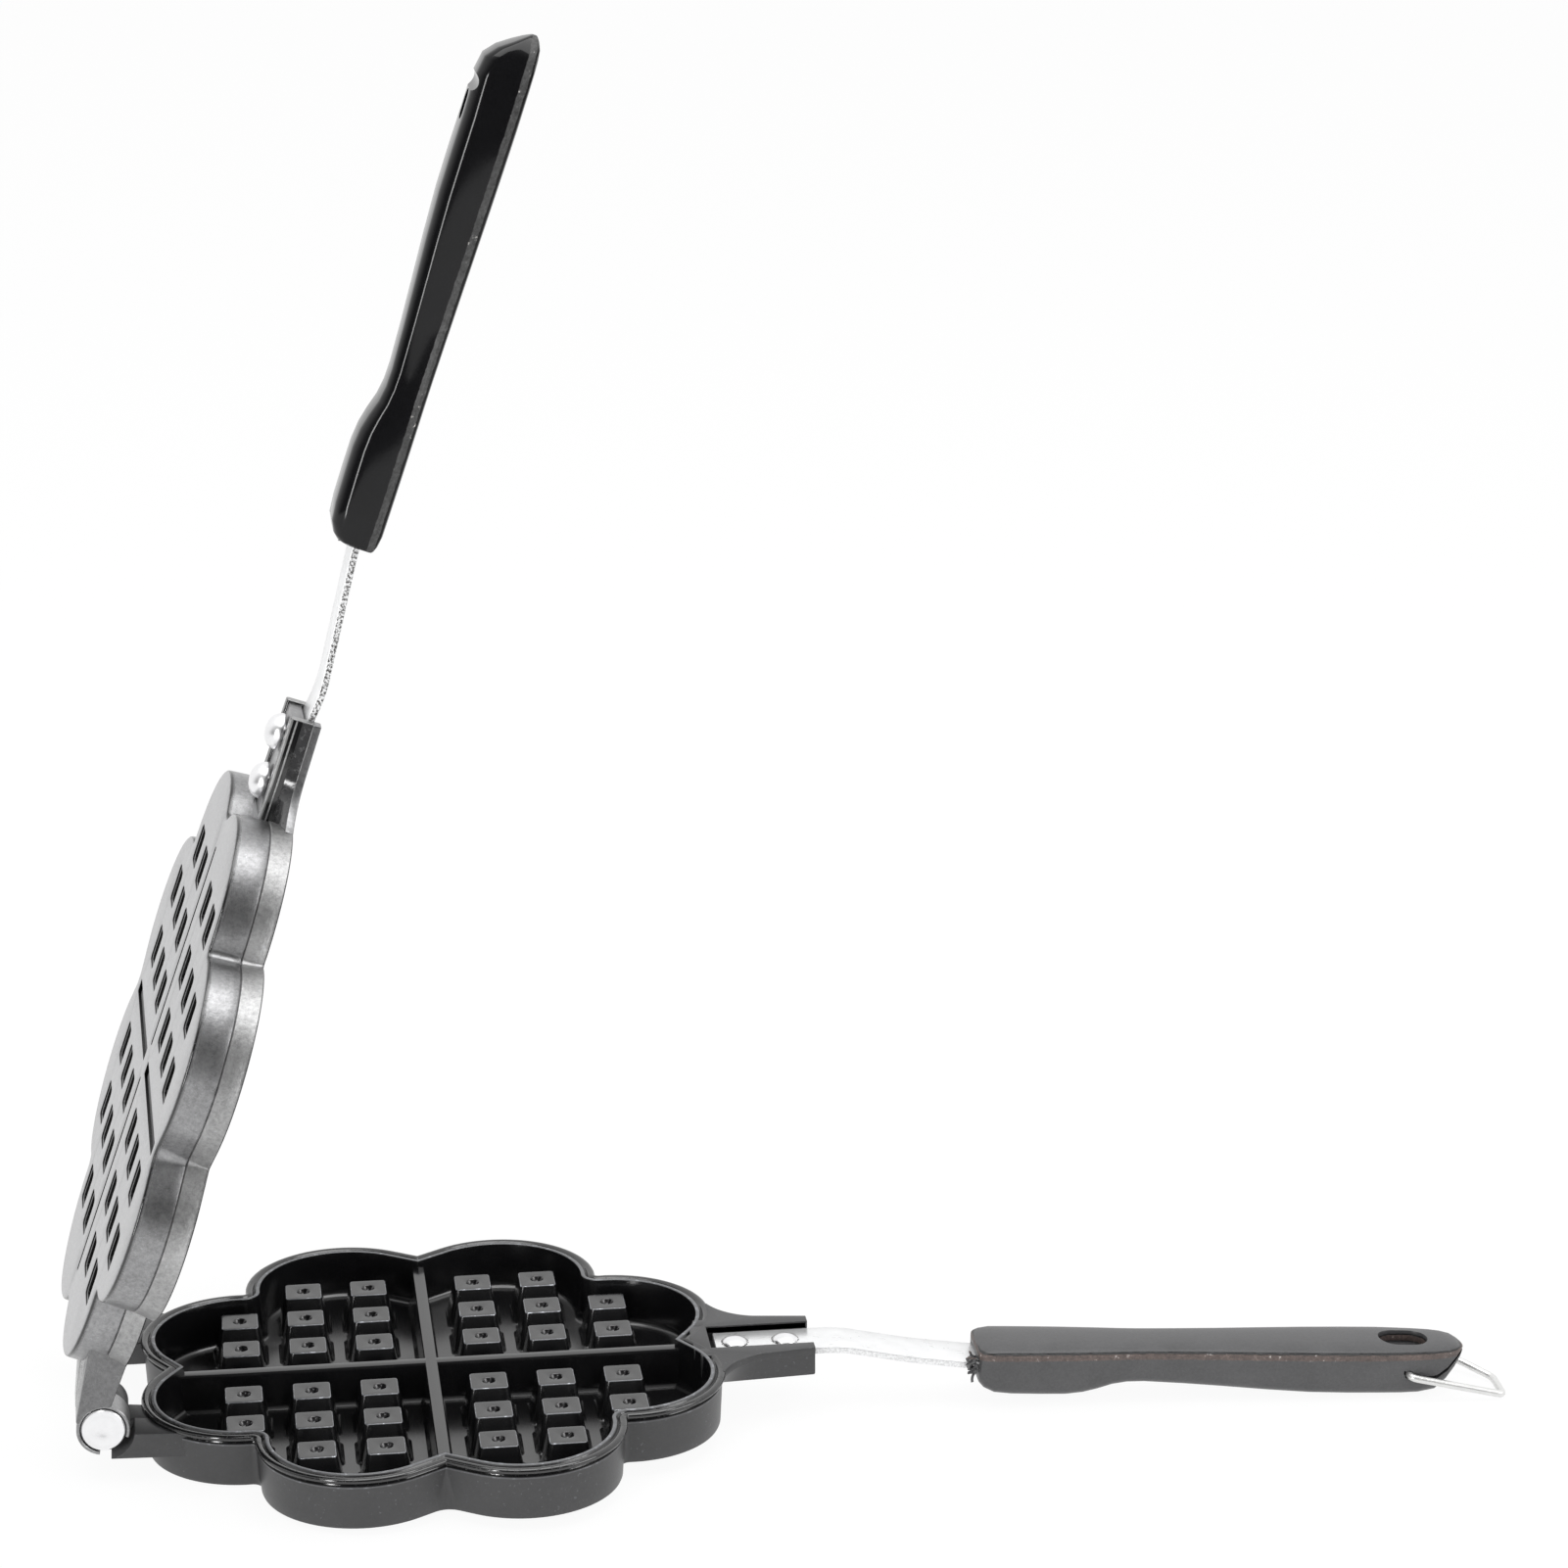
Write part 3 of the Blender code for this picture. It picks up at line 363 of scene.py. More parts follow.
def turned(profile, place=Matrix(), steps=48, angle=2 * pi, closed=False):
    """A profile of (radius, height) spun round Z. A closed one gets end faces on a part turn."""
    bm = bmesh.new()
    chain = [bm.verts.new((radius, 0, height)) for radius, height in profile]
    edges = [bm.edges.new(pair) for pair in zip(chain, chain[1:])]
    if closed:
        edges.append(bm.edges.new((chain[-1], chain[0])))
    full = abs(angle) > 1.999 * pi
    bmesh.ops.spin(
        bm,
        geom=chain + edges,
        cent=(0, 0, 0),
        axis=(0, 0, 1),
        angle=angle,
        steps=steps,
        use_merge=full,
    )
    bmesh.ops.remove_doubles(bm, verts=bm.verts, dist=0.0005)
    if closed and not full:
        bmesh.ops.holes_fill(bm, edges=bm.edges, sides=len(profile))
    bmesh.ops.recalc_face_normals(bm, faces=bm.faces)
    bmesh.ops.transform(bm, verts=bm.verts, matrix=place)
    return bm


def gather(piece, shape, places=(Matrix(),), **marks):
    """Adds a shape to a piece once at each place. The marks are numbers that the material reads."""
    for name, value in marks.items():
        layer = shape.verts.layers.float.get(name) or shape.verts.layers.float.new(name)
        for vert in shape.verts:
            vert[layer] = max(vert[layer], value)
    mesh = bpy.data.meshes.new("shape")
    shape.to_mesh(mesh)
    shape.free()
    for place in places:
        copy = mesh.copy()
        copy.transform(place)
        piece.from_mesh(copy)
        bpy.data.meshes.remove(copy)
    bpy.data.meshes.remove(mesh)


def finish_piece(bm, name, material, place=Matrix(), smooth_below=40):
    """Makes the piece's object at the origin. Its points note their place in the piece's frame."""
    scale = 1 / metre
    layer = bm.verts.layers.float_vector.new("own_place")
    for vert in bm.verts:
        vert[layer] = vert.co * scale
    bmesh.ops.transform(bm, verts=bm.verts, matrix=Matrix.Scale(scale, 4) @ place)
    mesh = bpy.data.meshes.new(name)
    bm.to_mesh(mesh)
    bm.free()
    mesh.shade_smooth()
    mesh.set_sharp_from_angle(angle=radians(smooth_below))
    mesh.materials.append(material)
    piece = bpy.data.objects.new(name, mesh)
    bpy.context.scene.collection.objects.link(piece)
    return piece


def shell_shape(outside, rim, flange_rings=0):
    """The wall, the rim, the floor and the underside, with the floor left open under each stud."""
    bm = bmesh.new()
    lip = ((1.12, 15.45), (0.95, 15.58), (0.2, 15.6), (0, 15.45))
    lip += ((-0.06, 15.0), (-0.25, 12.0), (-0.55, 8.0))
    cove, cove_inset, lip_wear_and_highlight, wall_wear = 2.2, -3.0, 0.4, 0.25
    inside = lip + tuple(arc((cove_inset, floor_top + cove), cove, 0, -90, 5))
    rings = [flower_ring(bm, *row) for row in outside + rim + inside]
    coat = bm.verts.layers.float.new("coat")
    first_inside = len(outside) + len(rim)
    first_coated = first_inside + 3
    paint(rings[first_coated:], coat, 1.0)
    gloss = bm.verts.layers.float.new("gloss")
    paint(rings[len(outside) :first_inside], gloss, 1.0)
    bare = bm.verts.layers.float.new("bare")
    # The lip's top is marked bare: worn coating and a painted highlight along the lip
    paint(rings[first_inside + 1 : first_coated], bare, lip_wear_and_highlight)
    if flange_rings:
        flange = bm.verts.layers.float.new("flange")
        paint(rings[len(outside) - flange_rings : len(outside)], flange, 1.0)
        # The ring at the edge of the lid's face takes the coating's black: painted shade along that
        # edge
        paint(rings[2:4], gloss, 1.0)
    else:
        paint(rings[7:8], bare, wall_wear)
    join_rings(bm, rings)
    hole_half, hole_corner = 5.8, 2.0
    for x, y in stud_places():
        block_ring(bm, (x, y), hole_half, hole_half, hole_corner, floor_top)
    bmesh.ops.triangle_fill(
        bm, use_beauty=True, edges=open_edges(bm, floor_top), normal=(0, 0, 1)
    )
    for vert in bm.verts:
        if at_height(vert, floor_top):
            vert[coat] = 1.0
    deep = bm.verts.layers.float.new("deep")
    # Half the side, the corners' radius and the height at each step of the recess under a stud
    recess = (
        (5.75, 1.9, 0),
        (5.52, 1.6, 0.08),
        (5.48, 1.6, 0.14),
        (5.45, 1.5, 0.5),
        (5.42, 1.5, 0.56),
        (5.25, 1.45, 0.64),
        (5.22, 1.45, 0.7),
        (5.15, 1.45, 1.3),
        (4.2, 1.2, 9.0),
        (3.8, 1.0, 9.5),
    )
    for x, y in stud_places():
        walls = [block_ring(bm, (x, y), half, half, corner, z) for half, corner, z in recess]
        # Painted shade: the walls under the chamfer and below the ledge are marked deep, which the
        # material turns black
        paint(walls[2:4] + walls[6:], deep, 1.0)
        join_rings(bm, walls, closed=[-1])
    for x, y, half_x, half_y, depth in slots:
        steps = ((0.05, 0.6, 0), (0, 0.55, 0.04), (-0.05, 0.5, depth - 0.15), (-0.25, 0.4, depth))
        walls = [
            block_ring(bm, (x, y), half_x + grow, half_y + grow, corner, height)
            for grow, corner, height in steps
        ]
        # Painted shade: each slit's walls are marked deep in full and its floor in part
        paint(walls[1:3], deep, 1.0)
        paint(walls[3:], deep, 0.4)
        join_rings(bm, walls, closed=[-1])
    bmesh.ops.triangle_fill(bm, use_beauty=True, edges=open_edges(bm, 0), normal=(0, 0, -1))
    bmesh.ops.recalc_face_normals(bm, faces=bm.faces)
    return bm


# Each ring's offset from the lip's inner edge, its height, and for the wall how round its four
# notches are. The wall ends in a thin shadow line, and the rim is a round bead and a groove.
lower_wall = (
    (1.8, 0, foot_notch),
    (2.36, 0.23, foot_notch),
    (2.6, 0.8, foot_notch),
    (2.75, 3.8, 4.6),
    (2.9, 6.8, 3.1),
    (3.05, 9.8, 1.7),
    (3.17, 12.25, 0.6),
    (3.2, 12.6, notch_round),
    (3.15, 12.85),
    (3.0, 12.95),
)
lower_rim = (
    (2.5, 13.05),
    (2.4, 13.3),
    (2.6, 13.7),
    (3.2, 13.95),
    (3.75, 14.1),
    (4.0, 14.35),
    (4.07, 14.7),
    (4.03, 15.0),
    (3.85, 15.3),
    (3.5, 15.5),
    (3.05, 15.58),
    (2.6, 15.52),
    (2.2, 15.35),
    (1.95, 15.1),
    (1.75, 14.85),
    (1.5, 14.75),
    (1.25, 14.95),
)
# Two slits along the handle and two wider channels across it run in the pan's underside.
# Each is given as its middle, its half sizes and its depth.
slots = (
    (35, 0, 30, 1.0, 1.4),
    (-35, 0, 30, 1.0, 1.4),
    (0, 35.5, 1.9, 30.5, 1.0),
    (0, -33.5, 1.9, 28.5, 1.0),
)


def stud_places():
    """The middle of each stud: a square block in each quarter, without its outer corner."""
    for column, row in ((0, 0), (0, 1), (0, 2), (1, 0), (1, 1), (1, 2), (2, 0), (2, 1)):
        x, y = stud_first_x + column * stud_pitch, stud_first_y + row * stud_pitch
        yield from ((x, y), (-x, y), (x, -y), (-x, -y))


def stud_shape():
    """One tapered stud with a dimple in its top and a hollow foot that runs out on the floor."""
    bm = bmesh.new()
    outside = (
        (8.3, 2.6, 1.85),
        (7.75, 2.2, 2.05),
        (7.35, 1.8, 2.45),
        (7.1, 1.5, 3.0),
        (5.75, 1.3, 10.3),
        (5.27, 1.2, 12.75),
        (5.22, 1.15, 12.92),
        (5.1, 1.0, 13.05),
        (4.9, 0.9, 13.09),
        (4.6, 0.9, 13.1),
    )
    dimple = ((2.2, 13.09), (2.0, 13.06), (1.85, 12.9), (1.7, 12.6))
    dimple += ((1.3, 12.0), (0.8, 11.5), (0.25, 11.3))
    edge_wear_and_highlight = 0.6
    rings = [block_ring(bm, (0, 0), half, half, corner, height) for half, corner, height in outside]
    bare = bm.verts.layers.float.new("bare")
    # The rounded top edge is marked bare: worn coating and a painted highlight along the edge
    paint(rings[6:8], bare, edge_wear_and_highlight)
    for radius, height in dimple:
        rings.append(block_ring(bm, (0, 0), radius, radius, radius, height))
    join_rings(bm, rings, closed=[-1])
    cap = bmesh.ops.contextual_create(bm, geom=rings[0])["faces"]
    bmesh.ops.recalc_face_normals(bm, faces=bm.faces)
    bmesh.ops.delete(bm, geom=cap, context="FACES_ONLY")
    return bm


def rib_shape(reach):
    """One rib along X: a tapered bar with a rounded top and a sloped foot."""
    half = [(3.5, 1.85), (2.62, 2.7), (2.5, 2.95), (2.44, 3.3)]
    half += [(1.88, 12.4), (1.82, 12.9), (1.6, 13.25), (1.2, 13.35)]
    profile = half + [(-y, z) for y, z in reversed(half)]
    stand = Matrix(((0, 0, 1, 0), (1, 0, 0, 0), (0, 1, 0, 0), (0, 0, 0, 1)))
    return slab(profile, -reach, reach, stand, round_off=0)


def bracket_shapes(of_lid):
    """The strap's bracket: a web that flares from the rim, two cheeks and the slot's floor."""
    end_x, end_half, shoulder_x, shoulder_half = 108.9, 11.0, 91.0, 12.3
    slot_x, slot_half, cheek_x, back_x, web_x = 79.0, 7.3, 76, 74.5, 73.9
    low, slot_floor, web_low, skirt_high = 7.0, 11.25, 13.3, 13.6
    skirt_low, sunk = (10.4, 0.5) if of_lid else (7.2, 0)
    short_x = end_x - 0.3
    rim_arc = arc(side_lobe, side_radius + 3.2, -33, 7, 12)
    flare = arc((97.94, 30.44), 17.9, 203, 256, 14)
    half = [(web_x, 0)] + rim_arc + flare
    cheek_end = [(end_x, end_half), (end_x, slot_half), (slot_x + 0.4, slot_half)]
    whole = half + cheek_end + [(x, -y) for x, y in reversed(half[1:] + cheek_end)]
    yield slab(whole, web_low, pan_height, round_off=0.2, segments=3), {}
    slope = (shoulder_half - end_half) / (end_x - shoulder_x)
    side = arc(side_lobe, side_radius + 1.8, -20, 7, 8) + flare
    side += [(short_x, end_half), (short_x, 9.0), (84, 9.0)]
    skirt = slab(side, skirt_low, skirt_high, round_off=0)
    for vert in skirt.verts:
        if vert.co.z < skirt_low + 1:
            vert.co.y = min(vert.co.y, shoulder_half - (vert.co.x - shoulder_x) * slope)
    mirrored = skirt.copy()
    bmesh.ops.scale(mirrored, verts=mirrored.verts, vec=(1, -1, 1))
    bmesh.ops.recalc_face_normals(mirrored, faces=mirrored.faces)
    # On the lid the skirts take most of the coating's black: painted shade under the web
    for shape in (skirt, mirrored):
        yield shape, {"gloss": 0.9} if of_lid else {}
    for sign in (-1, 1):
        outline = [
            (cheek_x, slot_half),
            (end_x - 0.02, slot_half),
            (end_x - 0.02, end_half - sunk),
            (shoulder_x, shoulder_half - sunk),
            (cheek_x, shoulder_half - sunk),
        ]
        outline = [(x, sign * y) for x, y in outline]
        cheek = slab(outline, low, pan_height - 0.02, round_off=0.5, segments=3)
        # On the lid the cheeks' sides take the coating's black as painted shade; their end faces
        # take the flange colour
        if of_lid:
            painted_shade = cheek.verts.layers.float.new("gloss")
            light = cheek.verts.layers.float.new("flange")
            for vert in cheek.verts:
                at_end = vert.co.x > end_x - 0.2
                vert[painted_shade], vert[light] = (0, 0.6) if at_end else (1.0, 0)
        yield cheek, {}
        if of_lid:
            # The two bars take the lighter flange colour: a painted highlight along the cheek's
            # outer edge
            bar_x, proud = 77, 0.05
            bar = [
                (short_x, end_half + proud),
                (shoulder_x, shoulder_half + proud),
                (bar_x, shoulder_half + proud),
                (bar_x, end_half),
                (short_x, end_half - 1.4),
            ]
            bar = [(x, sign * y) for x, y in bar]
            yield slab(bar, low, low + 0.8, round_off=0.3), {"flange": 0.7}
            yield slab(bar, low + 1.6, low + 2.1, round_off=0.22), {"flange": 0.9}
    floor = [(75, -8), (end_x - 0.6, -8), (end_x - 0.6, 8), (75, 8)]
    yield slab(floor, low + (0.6 if of_lid else 0.1), slot_floor, round_off=0.3), {}
    back = [(back_x, -8), (slot_x, -8), (slot_x, 8), (back_x, 8)]
    yield slab(back, low + 0.1, pan_height - 0.04, round_off=0.2), {}


upright = Matrix.Rotation(pi / 2, 4, "X")


def hinge_axis(yaw):
    """The middle of the hinge in a pan's own frame, with Y along its axis."""
    turn = Matrix.Rotation(yaw, 4, "Z") @ Matrix.Rotation(hinge_tilt, 4, "X")
    return Matrix.Translation(hinge_place) @ turn


hinge_inner, hinge_middle, hinge_outer, hook_start = 21.0, 31, 41.0, 30.8
block_root = 26.5
root_in_wall = side_radius + 1.6


def hinge_part(piece, outline, sign, inner, outer, hub, **marks):
    """Adds an upright slab round the hub, with its root end drawn back into the lobe's wall."""
    low, high = sorted((-sign * inner, -sign * outer))
    place = Matrix.Translation((hub.x, 0, hub.z)) @ upright
    shape = slab(outline, low, high, place, round_off=0.5, segments=3)
    for vert in shape.verts:
        if vert.co.x > hinge_place.x + block_root - 2:
            out = abs(vert.co.y) - side_lobe.y
            vert.co.x = -side_lobe.x - sqrt(root_in_wall**2 - out**2)
    gather(piece, shape, **marks)


def ring_profile(radii, low, high, chamfer):
    """The cross-section of a ring with chamfered edges, as points of (radius, height)."""
    bore, flat_start, flat_end, rim = radii
    foot = [(bore, low + chamfer), (flat_start, low), (flat_end, low), (rim, low + chamfer)]
    return foot + [(radius, low + high - height) for radius, height in reversed(foot)]


lower_pan_bm = bmesh.new()
foot_places = [Matrix.Translation((x, y, 0)) for x, y in stud_places()]
gather(lower_pan_bm, stud_shape(), foot_places, coat=1.0)
gather(lower_pan_bm, rib_shape(71.8), [Matrix.Translation((0, 0, -0.06))], coat=1.0)
gather(lower_pan_bm, rib_shape(66.5), [Matrix.Rotation(pi / 2, 4, "Z")], coat=1.0)
upper_pan_bm = lower_pan_bm.copy()
gather(lower_pan_bm, shell_shape(lower_wall, lower_rim))
for shape, marks in bracket_shapes(of_lid=False):
    gather(lower_pan_bm, shape, **marks)
lower_axis = hinge_axis(hinge_yaw)
block_low, block_high, seat_end = 7.25, 14.25, 30.5
for sign in (-1, 1):
    hub = lower_axis @ Vector((0, sign * hinge_middle, 0))
    low, high = block_low - hub.z, block_high - hub.z
    root = [(block_root, low), (block_root, high)]
    seat = root + arc((0, 0), 6.7, -13, -71.7, 12) + [(2.1, low)]
    hinge_part(lower_pan_bm, seat, sign, hinge_inner, seat_end, hub)
    block = root + arc((0, 0), 8.7, -9.9, -77.7, 14)
    hinge_part(lower_pan_bm, block, sign, seat_end - 0.2, hinge_outer, hub)
    ring = ring_profile((6.3, 6.5, 6.8, 7.0), hinge_inner, seat_end, 0.3)
    aim = Matrix.Rotation(-sign * pi / 2, 4, "X")
    gather(lower_pan_bm, turned(ring, lower_axis @ aim, 64, closed=True))


def noise(tree, point, size_mm, detail=3, roughness=0.5):
    """Noise from 0 to 1 whose features are about size_mm across."""
    sockets = {"Vector": point, "Scale": metre / size_mm, "Detail": detail, "Roughness": roughness}
    return add_node(tree, "ShaderNodeTexNoise", {}, sockets)


def mix_colours(tree, kind, share, first, second):
    """Mixes two colours. Each is a socket or plain numbers for red, green and blue."""
    first, second = (
        colour if isinstance(colour, Socket) else (*colour, 1) for colour in (first, second)
    )
    settings = {"data_type": "RGBA", "blend_type": kind}
    return add_node(tree, "ShaderNodeMix", settings, {0: share, 6: first, 7: second}, out=2)


def blend_colours(share, first, second):
    """first where share is 0, second where it is 1."""
    return mix_colours(share.tree, "MIX", share, first, second)


def tinted(colour, shade):
    """A colour made lighter or darker by a number."""
    grey = add_node(shade.tree, "ShaderNodeCombineXYZ", {}, {0: shade, 1: shade, 2: shade})
    return mix_colours(shade.tree, "MULTIPLY", 1, colour, grey)


def bump(tree, height, depth_mm):
    """A normal from a height between 0 and 1 that stands for depth_mm."""
    return add_node(tree, "ShaderNodeBump", {}, {"Height": height, "Distance": depth_mm / metre})


def own_place(tree):
    """The point on the surface in the piece's own frame, as it lies before it is put in place."""
    return add_node(tree, "ShaderNodeAttribute", {"attribute_name": "own_place"}, out="Vector")


def mark_of(tree, name):
    """A number that is written on the piece's points."""
    return add_node(tree, "ShaderNodeAttribute", {"attribute_name": name}, out="Fac")


def with_looks(material, looks):
    """The material with its looks on a Principled shader."""
    shader = add_node(material.node_tree, "ShaderNodeBsdfPrincipled", {}, looks)
    output = {"Surface": shader}
    add_node(material.node_tree, "ShaderNodeOutputMaterial", {}, output, out=None)
    return material


# The first colour is the coating's own black; the second is painted shade for the hollows under the
# pan
coating_black, painted_recess_shade = (0.004, 0.004, 0.0045), (0.008, 0.008, 0.008)
worn_and_highlight_metal = (0.55, 0.57, 0.61)


def pan_material(name, outside, speckle, flecks, flange_colour, grain_depth):
    """Cast aluminium with a baked coating: grainy outside, glossy on the bead, smooth within."""
    material, tree = new_material(name)
    spot = own_place(tree)
    marks = ("coat", "gloss", "bare", "flange", "deep")
    coat, gloss, bare, flange, deep = (mark_of(tree, mark) for mark in marks)
    cloud = noise(tree, spot, 14, detail=5, roughness=0.6)
    grain = noise(tree, spot, 1.2, detail=5, roughness=0.8)
    scuff = between(noise(tree, spot, 2.2, detail=5, roughness=0.7), 0.54, 0.62)
    fleck = between(noise(tree, spot, 1.0, detail=3, roughness=0.6), 0.64, 0.7)
    fleck = fleck * between(cloud, 0.4, 0.55)
    outer = (1.0 - coat) * (1.0 - gloss) * (1.0 - bare)
    # Painted light: the flat face at the pan's foot is lightened by 0.4, which brightens the lid's
    # face
    underside = 1.0 - between(part_of(spot, "Z"), 0.0001, 0.0004)
    flange = between(flange + 0.5 * (grain - 0.5), 0.4, 0.6)
    shade = 0.55 + 0.6 * cloud + speckle * (grain - 0.5)
    shade = shade + 0.4 * underside
    colour = tinted(blend_colours(flange, outside["colour"], flange_colour), shade)
    # The bead and coated parts take their own coating's black; the same black is painted shade on
    # the lid's bracket and along the lid face's edge
    colour = blend_colours(coat + gloss, colour, coating_black)
    # Bare marks turn the colour to light metal: real wear at the chipped wall edge, a painted
    # highlight on the lip and the stud edges
    worn = bare * (0.4 + 0.9 * scuff) + flecks * fleck * outer
    colour = blend_colours(worn, colour, worn_and_highlight_metal)
    rough = 0.2 + (outside["roughness"] - 0.2) * outer + 0.14 * (cloud - 0.5) - 0.08 * gloss
    height = grain * (0.08 + 0.92 * outer) + 1.5 * cloud * gloss
    looks = {
        # Marked deep, the colour goes to black and the surface to metal: painted shade in the
        # recesses and slits
        "Base Color": blend_colours(deep, colour, painted_recess_shade),
        "Metallic": outside["metal"] * outer + worn + deep,
        "Roughness": rough + 0.3 * gloss * scuff + 0.1 * flange * outer,
        "IOR": 1.75,
        "Normal": bump(tree, height, grain_depth),
    }
    return with_looks(material, looks)


coated_aluminium = pan_material(
    "coated_aluminium",
    outside={"colour": (0.03, 0.03, 0.0315), "roughness": 0.42, "metal": 0.2},
    speckle=0.7,
    flecks=0.1,
    flange_colour=(0.05, 0.05, 0.052),
    grain_depth=0.035,
)
lower_pan = finish_piece(lower_pan_bm, "lower_pan", coated_aluminium)
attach(lower_pan, "base")
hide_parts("lower_pan")


# Hinge pins: two turned stubs of bare aluminium, pressed into the lower pan's rings.
# The lid's hooks turn on their outer halves, and their faced ends show on the left.
pin_radius, pin_round = 6.1, 0.35
# The brown is the colour of sheared edges, and also painted shade round the rivet heads
sheared_and_shade_brown, tool_mark_depth = (0.04, 0.037, 0.035), 0.012


def brushed_metal(name, colour, roughness, metal=1.0, streak=(1, 1, 1), streak_share=0.1):
    """Bare metal with faint smudges and fine tool marks. Sheared edges are darker and speckled; the
    same speckle paints shade round a rivet's foot.
    """
    material, tree = new_material(name)
    spot = own_place(tree)
    smudge = noise(tree, spot, 5, detail=3)
    stretched = add_node(tree, "ShaderNodeMapping", {}, {"Vector": spot, "Scale": streak})
    mark = noise(tree, stretched, 0.6, detail=4, roughness=0.6)
    crumbs = between(noise(tree, spot, 0.7, detail=4, roughness=0.7), 0.44, 0.56)
    torn_and_shaded = mark_of(tree, "sheared_and_shaded") * crumbs
    rough = roughness + streak_share * (mark - 0.5) + 0.14 * (smudge - 0.5) + 0.2 * torn_and_shaded
    looks = {
        "Base Color": blend_colours(torn_and_shaded, tinted(colour, 0.86 + 0.2 * smudge), sheared_and_shade_brown),
        "Metallic": metal * (1.0 - torn_and_shaded),
        "Roughness": rough,
        "Normal": bump(tree, mark, tool_mark_depth),
    }
    return with_looks(material, looks)


bright_aluminium = brushed_metal("bright_aluminium", (0.93, 0.93, 0.94), 0.3)
for side, sign in (("front", -1), ("rear", 1)):
    profile = [
        (0, hinge_outer - 0.12),
        (1.6, hinge_outer - 0.12),
        (1.8, hinge_outer - 0.05),
        (4.3, hinge_outer),
        (4.6, hinge_outer - 0.06),
        (4.9, hinge_outer),
        (pin_radius - pin_round, hinge_outer),
        (pin_radius, hinge_outer - pin_round),
        (pin_radius, hinge_inner + pin_round),
        (pin_radius - pin_round, hinge_inner),
        (0, hinge_inner),
    ]
    place = lower_axis @ Matrix.Rotation(-sign * pi / 2, 4, "X")
    name = f"hinge_pin_{side}"
    pin_bm = bmesh.new()
    gather(pin_bm, turned(profile, place, 64))
    pin = finish_piece(pin_bm, name, bright_aluminium, smooth_below=30)
    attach(pin, "base")
    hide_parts(name)


# Upper pan, the lid: the same casting turned over and standing open on its hinge.
# Two arms reach from its rim and end in hooks that are open on one side, so the lid lifts off.
lid_open = radians(70.5)
closed_turn = Matrix.Translation((0, 0, 2 * hinge_place.z)) @ Matrix.Rotation(pi, 4, "X")
swing_open = lower_axis @ Matrix.Rotation(-lid_open, 4, "Y") @ lower_axis.inverted()
lid_place = swing_open @ closed_turn
# The lid's wall has its shadow line lower down, under a broad flange that is only rough-cast
upper_wall = (
    (1.68, 0, foot_notch),
    (2.15, 0.2, foot_notch),
    (2.45, 0.45, foot_notch),
    (2.58, 0.8, foot_notch),
    (2.62, 1.7, 5.6),
    (2.75, 3.8, 4.9),
    (2.9, 6.6, 3.7),
    (3.0, 9.0, 2.6),
    (2.95, 9.15, 2.5),
    (2.55, 9.25, 2.5),
    (2.5, 9.45, 2.4),
    (2.9, 9.6, 2.3),
    (3.1, 9.75, 2.2),
    (3.45, 12.2, 1.2),
    (3.9, 14.7, 0.6),
    (4.05, 15.1),
)
upper_rim = (
    (4.03, 15.3),
    (3.85, 15.5),
    (3.4, 15.6),
    (2.6, 15.57),
    (2.2, 15.4),
    (1.8, 15.1),
    (1.5, 15.0),
    (1.25, 15.15),
)
gather(upper_pan_bm, shell_shape(upper_wall, upper_rim, flange_rings=5))
for shape, marks in bracket_shapes(of_lid=True):
    gather(upper_pan_bm, shape, **marks)
upper_axis = hinge_axis(-hinge_yaw)
hook_gloss, hook_turn, mouth_turn = 0.55, radians(280), radians(170.5)
for sign in (-1, 1):
    hub = upper_axis @ Vector((0, sign * hinge_middle, 0))
    face = pan_height - hub.z
    foot = face - 8.4
    drop = 0.117 * block_root
    root = [(block_root, foot - drop), (block_root, face)]
    inner_part = root + arc((0, 0), 7.35, -1.2, -90, 16) + [(0, foot)]
    hook_end = hook_start + 0.1
    hinge_part(upper_pan_bm, inner_part, sign, hinge_inner, hook_end, hub, gloss=hook_gloss)
    outer_part = root + arc((0, 0), 6.9, -1.2, -90, 16) + [(0, foot)]
    hinge_part(upper_pan_bm, outer_part, sign, hook_start, hinge_outer, hub, gloss=hook_gloss)
    ring = ring_profile((6.42, 6.65, 7.1, 7.34), hook_start, hinge_outer, 0.25)
    # Spun about Z first: the turn runs from the mouth's far lip round under the pin to the near lip
    aim = Matrix.Rotation(-sign * pi / 2, 4, "X") @ Matrix.Rotation(-sign * mouth_turn, 4, "Z")
    hook = turned(ring, upper_axis @ aim, 56, angle=-sign * hook_turn, closed=True)
    gather(upper_pan_bm, hook)
cast_aluminium = pan_material(
    "cast_aluminium",
    outside={"colour": (0.34, 0.34, 0.345), "roughness": 0.3, "metal": 0.9},
    speckle=1.3,
    flecks=0.4,
    flange_colour=(0.4, 0.4, 0.4),
    grain_depth=0.07,
)
upper_pan = finish_piece(upper_pan_bm, "upper_pan", cast_aluminium, lid_place)
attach(upper_pan, "lid")
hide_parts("upper_pan")


# Straps: flat galvanised steel, bent once or twice between the bracket and the grip.
# Each lies in its bracket's slot under two rivets and runs into the grip's mouth.
strap_start, strap_top, strap_width, strap_thickness = 81.3, 13.55, 14.0, 2.0
strap_in_grip, strap_sunk, fold_round = 26, 3.9, 4
lower_grip = Matrix.Translation((157, 0, 9.7)) @ Matrix.Rotation(radians(3.52), 4, "Y")
upper_grip = Matrix.Translation((158.5, 0, 14.6))
strap_metal = brushed_metal(
    "galvanised_steel",
    (0.86, 0.865, 0.87),
    0.32,
    metal=0.6,
    streak=(0.08, 1, 1),
    streak_share=0.25,
)


